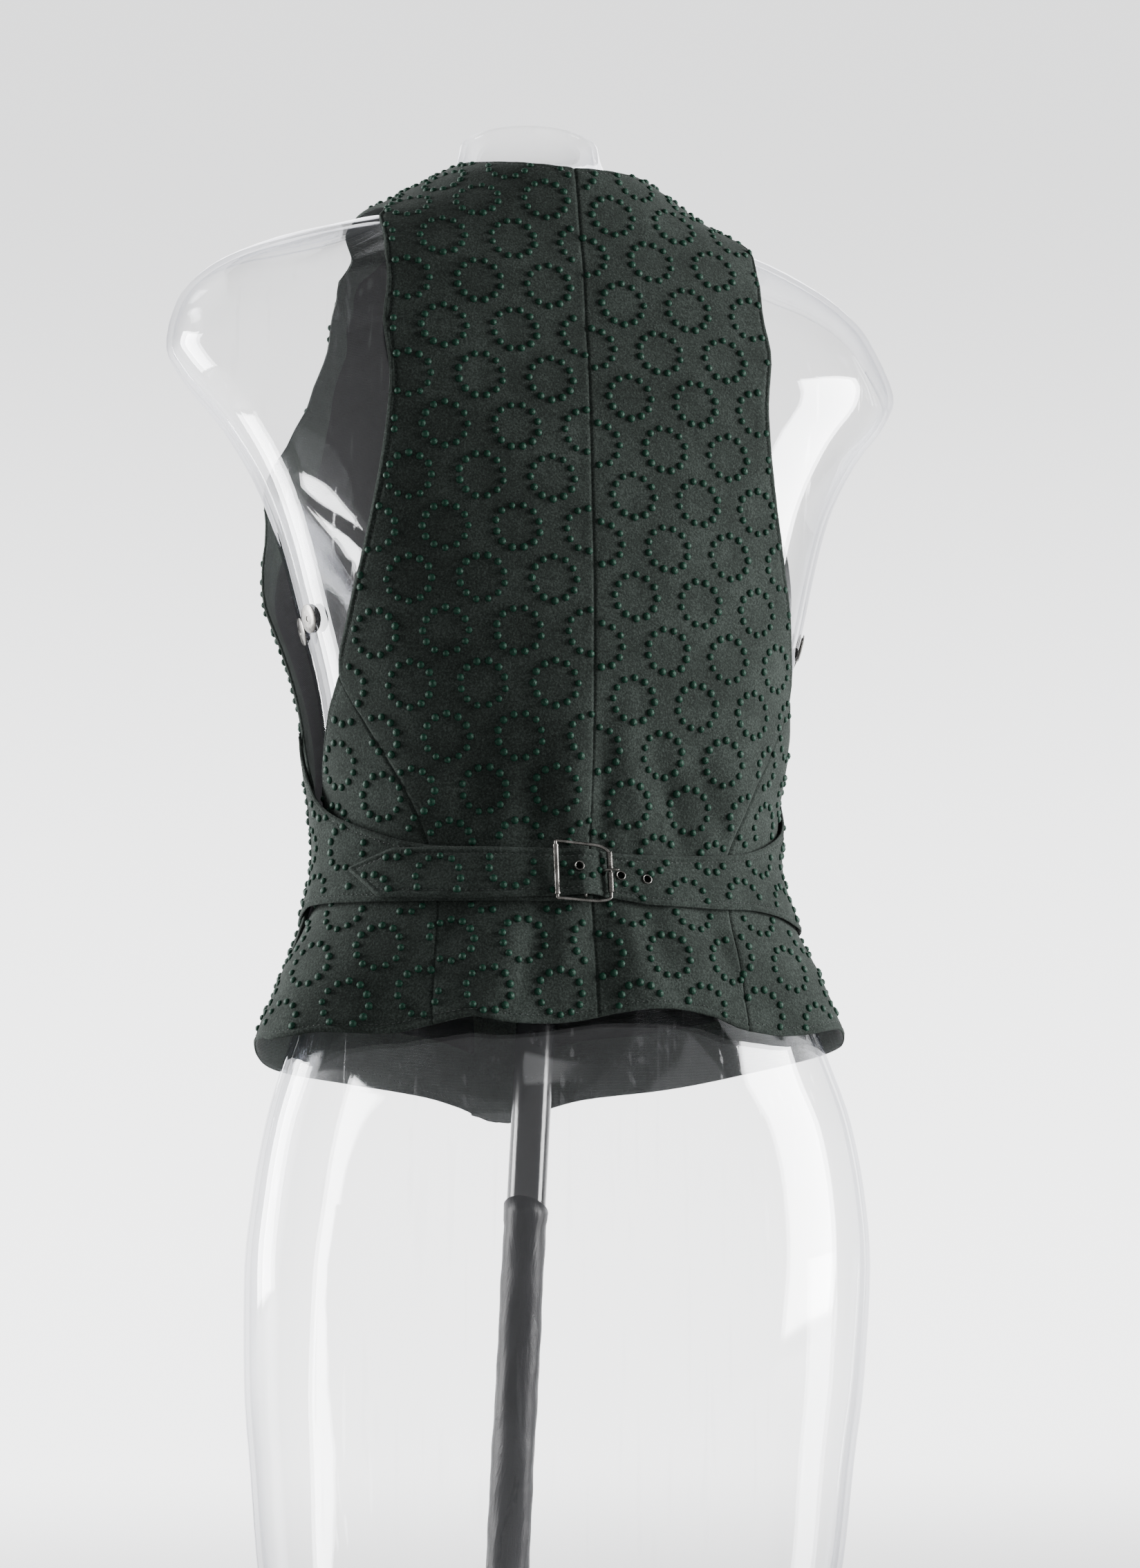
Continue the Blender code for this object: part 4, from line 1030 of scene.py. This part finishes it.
def framePoint(angle, height):
    ends = (buckle["roller"]["angle"], buckle["coil"]["angle"])
    middle = (buckle["top"] + buckle["bottom"]) / 2
    left, right = (clothPoint(a, middle, buckleLevel(a)) for a in ends)
    share = (angle - ends[0]) / (ends[1] - ends[0])
    lean = clothPoint(belt["bar"], buckle["top"], 0.0) - clothPoint(belt["bar"], buckle["bottom"], 0.0)
    return left + (right - left) * share + lean / lean[2] * (height - middle)


def wirePiece(name, points, radius, replaced, closed=False):
    # A round wire on a smooth line, made a mesh.
    curve = bpy.data.curves.new(name, "CURVE")
    curve.dimensions = "3D"
    curve.bevel_depth = radius * mm
    curve.bevel_resolution = 4
    curve.use_fill_caps = not closed
    line = curve.splines.new("POLY")
    places = toWorld(points)
    line.points.add(len(places) - 1)
    for point, place in zip(line.points, places):
        point.co = (*place, 1)
    line.use_cyclic_u = closed
    choose(linked(name, curve))
    bpy.ops.object.convert(target="MESH")
    wire = bpy.context.object
    orient(wire, 0.000001)
    wire.data.shade_smooth()
    return settle(wire, name, nickel, "nickel", replaced)


def rounded(points):
    # Corners are cut twice, which turns a short list of points into a smooth loop.
    line = np.array(points, float)
    for _ in range(2):
        ahead = np.roll(line, -1, axis=0)
        line = np.stack([line * 0.75 + ahead * 0.25, line * 0.25 + ahead * 0.75], 1).reshape(-1, 3)
    return line


def wireLine(places, count):
    return spaced(np.array([clothPoint(*place) for place in places]), count, 1.0)


def arc(angle):
    turn = math.radians(angle)
    return math.cos(turn), math.sin(turn)


def rodEnds(rod):
    return framePoint(rod["angle"], rod["bottom"]), framePoint(rod["angle"], rod["top"])


def makeBuckle():
    roller, coil = buckle["roller"], buckle["coil"]
    top, bottom, corner = buckle["top"], buckle["bottom"], buckle["corner"]
    left, right, wide = roller["angle"], coil["angle"], corner * 1.6
    loop = [(left, top), (left, top - 1.2), (left, bottom + 1.2), (left, bottom), (left + 0.6, bottom),
            (right - corner * 1.5, bottom - 0.6)]
    loop += [(right - corner + corner * s, bottom + corner - corner * c)
             for c, s in map(arc, (15, 35, 55, 75, 90))]
    loop += [(right - wide + wide * c, top - 6.0 + 5.0 * s) for c, s in map(arc, (0, 20, 40, 60, 80, 90))]
    loop += [(left + 0.6, top)]
    wirePiece("buckle_wire", rounded([framePoint(a, h) for a, h in loop]), buckle["wire"],
              ["buckle_frame"], closed=True)
    turnedPiece("buckle_sleeve", *rodEnds(roller), buckle["sleeve"], ["buckle_roller"])
    low, high = rodEnds(coil)
    length = np.linalg.norm(high - low)
    profile = [(0.95, 0.0)]
    pitch = length / coil["turns"]
    for k in range(coil["turns"]):
        if abs((k + 0.5) * pitch - length * 0.53) < pitch * 1.2:
            profile += [(1.02, k * pitch), (1.02, (k + 1) * pitch)]
            continue
        profile += [(1.3 + 0.4 * s, (k + 0.5) * pitch - pitch * 0.46 * c)
                    for c, s in map(arc, range(0, 181, 36))]
    profile.append((0.95, length))
    turnedPiece("buckle_winding", low, high, profile, ["buckle_coil"])
    barOut = strapLayer(belt["bar"]) - buckle["wire"] - 0.8
    ends = [(belt["bar"], height, barOut) for height in (top - 1.9, bottom + 1.9)]
    wirePiece("buckle_centre_bar", wireLine(ends, 9), buckle["wire"] * 0.9, ["buckle_bar"])
    over = buckleLevel(coil["angle"]) + coil["radius"] + buckle["prong"] + 0.4
    base = cloth["beltLayer"]
    path = ((89.6, base + 3.3), (90.9, base + 2.1), (91.7, base + 3.0), (92.3, base + 5.0),
            (93.0, over - 0.7), (94.0, over), (95.6, over - 0.2))
    path = [(angle, belt["prongHole"][1], out) for angle, out in path]
    wirePiece("buckle_pin", wireLine(path, 40), buckle["prong"], ["buckle_prong"])


def extrudeRings(profile, turns, tube):
    # By hand: a circle is extruded and scaled step by step along a profile of radius and height.
    bpy.ops.object.select_all(action="DESELECT")
    steps = [(max(r, 0.0005) * mm, z * mm) for r, z in profile]
    if tube:
        steps.append(steps[0])
    bpy.ops.mesh.primitive_circle_add(vertices=turns, radius=steps[0][0], location=(0, 0, steps[0][1]),
                                      fill_type="NOTHING" if tube else "NGON")
    bpy.ops.object.transform_apply(location=True, rotation=True, scale=True)
    made = bpy.context.object
    editAll(made)
    for (fromRadius, fromLevel), (radius, level) in zip(steps, steps[1:]):
        bpy.ops.mesh.extrude_region_move(TRANSFORM_OT_translate={"value": (0, 0, level - fromLevel)})
        wide = radius / fromRadius
        bpy.ops.transform.resize(value=(wide, wide, 1), center_override=(0, 0, 0))
    bpy.ops.object.mode_set(mode="OBJECT")
    orient(made, 0.000002)
    return made


def standing(place, up):
    return Matrix.Translation(place) @ up.to_track_quat("Z", "Y").to_matrix().to_4x4()


def turnedPiece(name, low, high, profile, replaced, material=nickel, slot="nickel", turns=32, tube=True):
    # A ring stack stood on the line from low to high.
    made = extrudeRings(profile, turns, tube)
    start, end = Vector(toWorld(low)), Vector(toWorld(high))
    made.matrix_world = standing(start, end - start)
    choose(made)
    bpy.ops.object.shade_smooth_by_angle(angle=math.radians(35))
    return settle(made, name, material, slot, replaced)


def makeEyelets():
    hole, rim, thick = buckle["eyelet"]
    face = cloth["beltWall"] + 0.1
    profile = [(hole + 0.35, 0.2), (hole, 0.4), (hole, face + thick * 0.4)]
    middle, half = (hole + rim) / 2, (rim - hole) / 2
    profile += [(middle - half * c, face + thick * s) for c, s in map(arc, range(0, 181, 20))]
    profile += [(rim, face - 0.3), (hole + 0.35, face - 0.3)]
    for number, (angle, height) in enumerate(belt["eyelets"], 1):
        low, high = strapPoint(angle, height), strapPoint(angle, height, 5.0)
        turnedPiece("eyelet_ring_%d" % number, low, high, profile, ["eyelet_%d" % number])


makeBuckle()
makeEyelets()
print("buckle made")

buttons = {"count": 5, "top": 148.0, "pitch": 46.0, "radius": 7.5, "thick": 3.0, "hole": 0.75, "spread": 1.45}


def makeButtons():
    r, t = buttons["radius"], buttons["thick"]
    profile = ((r - 1.6, 0.15), (r - 0.5, 0.6), (r, 1.4), (r - 0.15, 2.3), (r - 0.8, t), (r - 1.7, t),
               (r - 2.5, t - 0.75), (r - 3.2, t - 1.0), (0.0, t - 1.0))
    for number in range(buttons["count"]):
        height = buttons["top"] - number * buttons["pitch"]
        out = cuts["lapRise"] + cloth["wall"] + 0.5
        low, high = clothPoint(270.0, height, out), clothPoint(270.0, height, out + 5)
        piece = turnedPiece("front_button_%d" % (number + 1), low, high, profile,
                            ["button_%d" % (number + 1)], horn, "horn", tube=False)
        up = unit(high - low)
        side = unit(np.cross(up, (0, 0, 1.0)))
        rise = np.cross(side, up)
        for a, b in ((1, 1), (-1, 1), (-1, -1), (1, -1)):
            spot = low + (side * a + rise * b) * buttons["spread"]
            drill(piece, standing(Vector(toWorld(spot)), Vector(up)), buttons["hole"], 16)


makeButtons()
print("buttons made")

form = {"columns": 120, "rowSteps": 4, "rimBevel": 0.9, "ridge": 0.5, "ridgeWide": 0.55}


def makeForm():
    # A flat grid is wrapped to the form's sections, joined up the left side, and given its wall.
    levels = np.array([row[0] for row in body["sections"]], float)
    rows = (len(levels) - 1) * form["rowSteps"]
    heights = smoothCurve(np.arange(len(levels)), levels)(np.linspace(0, len(levels) - 1, rows + 1))
    plain = np.linspace(0, 360, form["columns"] + 1)
    ridge = form["ridgeWide"]
    angles = np.sort(np.concatenate([plain, (ridge, 180 - ridge, 180 + ridge, 360 - ridge)]))
    bpy.ops.object.select_all(action="DESELECT")
    bpy.ops.mesh.primitive_grid_add(x_subdivisions=len(angles) - 1, y_subdivisions=rows, size=2)
    shell = bpy.context.object
    grid = np.array([v.co for v in shell.data.vertices])
    across = np.rint((grid[:, 0] + 1) / 2 * (len(angles) - 1)).astype(int)
    up = np.rint((grid[:, 1] + 1) / 2 * rows).astype(int)
    # The moulded halves meet in a fine ridge down both sides.
    proud = np.where(np.isin(across, [0, len(angles) - 1]) | (np.abs(angles[across] - 180) < 0.01),
                     form["ridge"], 0.0)
    points = toWorld(formPoint(angles[across], heights[up], proud))
    shell.data.vertices.foreach_set("co", points.ravel())
    orient(shell, 0.00001)
    wall = shell.modifiers.new("Wall", "SOLIDIFY")
    wall.thickness, wall.offset = body["wall"] * mm, -1
    rim = shell.modifiers.new("Rim", "BEVEL")
    rim.width, rim.segments, rim.angle_limit = form["rimBevel"] * mm, 2, math.radians(60)
    shell.data.shade_smooth()
    settle(shell, "form_shell", clearShell, "clear_shell", ["dress_form"])


makeForm()

rivets = {"places": ((-2.0, 127.0), (9.0, 131.0)), "radius": 8.0, "thick": 1.9}


def makeRivets():
    r, t = rivets["radius"], rivets["thick"]
    profile = ((r - 1.8, 0.0), (r - 1.6, 0.6), (r, 0.7), (r, 1.1), (r - 0.5, 1.5),
               (r * 0.55, t), (r * 0.2, t), (r * 0.14, t - 0.5), (0.0, t - 0.5))
    for side in ("left", "right"):
        for number, (angle, height) in enumerate(rivets["places"], 1):
            turned = float(sideAngle(side, angle))
            low, high = formPoint(turned, height, 0.2), formPoint(turned, height, 5.0)
            turnedPiece("rivet_head_%s_%d" % (side, number), low, high, profile,
                        ["rivet_%s_%d" % (side, number)], tube=False)


makeRivets()
print("form and rivets made")

stand = {"pole": 11.0, "base": 150.0, "baseThick": 10.0, "collar": 20.0, "collarHigh": 24.0, "plate": 6.0,
         "wrapTop": -188.0, "wrapOut": 11.9, "wrapIn": 11.08, "wrapTurns": 40, "wrapSteps": 90}


def poleAxis(height):
    share = (height + body["waist"]) / (body["platform"] + body["waist"])
    x, y = (foot + (top - foot) * share for foot, top in zip(body["poleFoot"], body["poleTop"]))
    return np.array((x, y, height))


def makeStand():
    floorLevel = stand["baseThick"] - body["waist"]
    top = body["platform"] - stand["plate"] - 0.3
    low, high = poleAxis(floorLevel + 0.3), poleAxis(top)
    length = np.linalg.norm(high - low)
    r = stand["pole"]
    turnedPiece("pole_tube", low, high, ((r, 0), (r, 40), (r, length - 0.6), (r - 0.5, length), (0, length)),
                ["stand_pole"], enamel, "black_metal", 64, False)
    c, h = stand["collar"], stand["collarHigh"]
    turnedPiece("collar_ring", low, high, (
        (r + 0.4, 0), (c - 0.6, 0), (c, 0.6), (c, h * 0.6), (c - 0.6, h * 0.68), (c - 3.4, h - 0.8),
        (c - 4.4, h), (r + 0.9, h), (r + 0.4, h - 0.5)), ["pole_collar"], enamel, "black_metal", 64)
    b, t = stand["base"], stand["baseThick"]
    ground = np.array((*body["poleFoot"], -body["waist"]))
    turnedPiece("base_disc", ground, ground + (0, 0, 1), (
        (b - 1.0, 0), (b, 0.8), (b, t - 2.2), (b - 0.7, t - 0.7), (b - 2.4, t), (0, t)),
        ["stand_base"], enamel, "black_metal", 96, False)


def makeWrap():
    # A thin crumpled sleeve over the pole's lower stretch.
    turns, steps = stand["wrapTurns"], stand["wrapSteps"]
    bottom = stand["baseThick"] - body["waist"] + stand["collarHigh"] + 1.5
    points = []
    for crumpled in (True, False):
        for ring in range(steps + 1):
            share = ring / steps
            axis = poleAxis(bottom + (stand["wrapTop"] - bottom) * share)
            for k in range(turns):
                a = 2 * math.pi * k / turns
                ripple = (0.30 * math.sin(3 * a + share * 17) + 0.22 * math.sin(5 * a - share * 41)
                          + 0.25 * math.sin(share * 83 + 2 * math.sin(a)))
                slant = 7.0 * math.sin(a + 0.6) if ring == steps else 0.0
                out = stand["wrapOut"] + ripple * 0.55 + (0.5 if ring > steps - 3 else 0)
                out = out if crumpled else stand["wrapIn"]
                points.append(axis + (out * math.cos(a), out * math.sin(a), slant))
    count = (steps + 1) * turns
    faces = gridFaces(steps + 1, turns, wrap=True) + gridFaces(steps + 1, turns, count, True, True)
    for first, turned in ((0, True), (steps * turns, False)):
        for k in range(turns):
            n = (k + 1) % turns
            face = (first + k, first + n, count + first + n, count + first + k)
            faces.append(face[::-1] if turned else face)
    orient(newPiece("pole_wrap", toWorld(np.array(points)), faces, [film], "black_metal"))


makeStand()
makeWrap()
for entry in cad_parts["neck_plate"].material_slots:
    entry.material = enamel
print("stand made")

studio = {
    "sweepRadius": 4.2, "sweepCurve": 1.6, "sweepHeight": 6.0, "ambient": 0.20, "backdrop": 3.8,
    "top": 0.40, "world": (0.86, 0.87, 0.89),
    # name, degrees from the camera's line (left is plus), elevation, distance, width, height, radiance
    "boxes": (("softbox right", -86, 10.5, 2.5, 1.05, 1.95, 36),
              ("softbox left", 96, 10.5, 2.5, 1.1, 1.95, 30),
              ("fill", -30, 45, 3.0, 1.0, 1.0, 1.2), ("front", 180, 40, 3.0, 1.6, 1.2, 5.0)),
    "middle": (-0.03, 0, 0.55),
}
# Focal length, frame height and the offset aside are in the picture's pixels.
camera = {"distance": 1597.0, "azimuth": 15.5, "height": 297.0, "focal": 4165.0, "frameHeight": 2268,
          "sensor": 36.0, "pitch": 9.27, "aside": 24.5}


def paperLook():
    # The paper glows behind the piece as the photo's lit backdrop does.
    place = node("ShaderNodeSeparateXYZ", {}, {"Vector": node("ShaderNodeTexCoord", output=3)})
    behind, fade = (
        node("ShaderNodeMapRange", {"interpolation_type": "SMOOTHSTEP"},
             {"Value": Socket(place.link.node.outputs[axis]), "From Min": start, "From Max": end,
              "To Min": first, "To Max": last})
        for axis, start, end, first, last in ((1, 0.3, -2.7, 0.0, 1.0), (2, 0.2, 2.6, 1.0, studio["top"])))
    glow = behind * fade * (studio["backdrop"] - studio["ambient"]) + studio["ambient"]
    return {"Emission Color": node("ShaderNodeCombineColor", {}, {
        "Red": glow * 0.995, "Green": glow, "Blue": glow * 1.01})}


def makeStage():
    # A seamless sweep: floor, curve and wall, extruded from one circle.
    r, curve = studio["sweepRadius"] / mm, studio["sweepCurve"] / mm
    profile = [(r - curve, 0)]
    profile += [(r - curve + curve * s, curve - curve * c) for c, s in map(arc, range(10, 91, 10))]
    profile.append((r, studio["sweepHeight"] / mm))
    sweep = extrudeRings(profile, 96, False)
    editAll(sweep)
    bpy.ops.mesh.select_all(action="DESELECT")
    bpy.ops.object.mode_set(mode="OBJECT")
    for face in sweep.data.polygons:
        face.select = face.center.z > studio["sweepHeight"] * 0.99 and abs(face.normal.z) > 0.9
    bpy.ops.object.mode_set(mode="EDIT")
    bpy.ops.mesh.delete(type="FACE")
    bpy.ops.mesh.select_all(action="SELECT")
    bpy.ops.mesh.flip_normals()
    bpy.ops.object.mode_set(mode="OBJECT")
    sweep.data.shade_smooth()
    sweep.name = "studio_sweep"
    material = newMaterial("studio paper", {
        "Roughness": 0.9, "Specular IOR Level": 0.05, "Base Color": (0.22, 0.22, 0.22, 1),
        "Emission Strength": 1.0}, paperLook)
    material.cycles.emission_sampling = "NONE"  # it is all round, so plain bounces find it
    sweep.data.materials.append(material)
    world = bpy.data.worlds.new("studio")
    bpy.context.scene.world = world
    world.use_nodes = True
    background = world.node_tree.nodes["Background"]
    background.inputs["Color"].default_value = (*studio["world"], 1)
    background.inputs["Strength"].default_value = studio["ambient"]
    middle = Vector(studio["middle"])
    for name, turn, rise, away, wide, tall, radiance in studio["boxes"]:
        lamp = bpy.data.lights.new(name, "AREA")
        lamp.shape, lamp.size, lamp.size_y = "RECTANGLE", wide, tall
        lamp.energy = radiance * math.pi * wide * tall
        thing = linked(name, lamp)
        (y, x), (level, climb) = arc(camera["azimuth"] + turn), arc(rise)
        thing.location = middle + away * Vector((x * level, y * level, climb))
        thing.rotation_euler = (middle - thing.location).to_track_quat("-Z", "Y").to_euler()


makeStage()


def makeCamera():
    (y, x), (level, climb) = arc(camera["azimuth"]), arc(camera["pitch"])
    data = bpy.data.cameras.new("camera")
    data.sensor_fit, data.sensor_width = "AUTO", camera["sensor"]
    data.lens = camera["focal"] / camera["frameHeight"] * camera["sensor"]
    data.clip_start, data.clip_end = 0.05, 60
    thing = linked("camera", data)
    yaw = math.atan(camera["aside"] / camera["focal"])
    ahead = Vector((-x, -y, 0)) * math.cos(yaw) + Vector((-y, x, 0)) * math.sin(yaw)
    look = ahead * level + Vector((0, 0, climb))
    thing.location = toWorld((x * camera["distance"], y * camera["distance"],
                              camera["height"] - body["waist"]))
    thing.rotation_euler = look.to_track_quat("-Z", "Y").to_euler()
    bpy.context.scene.camera = thing


makeCamera()
print("scene ready")
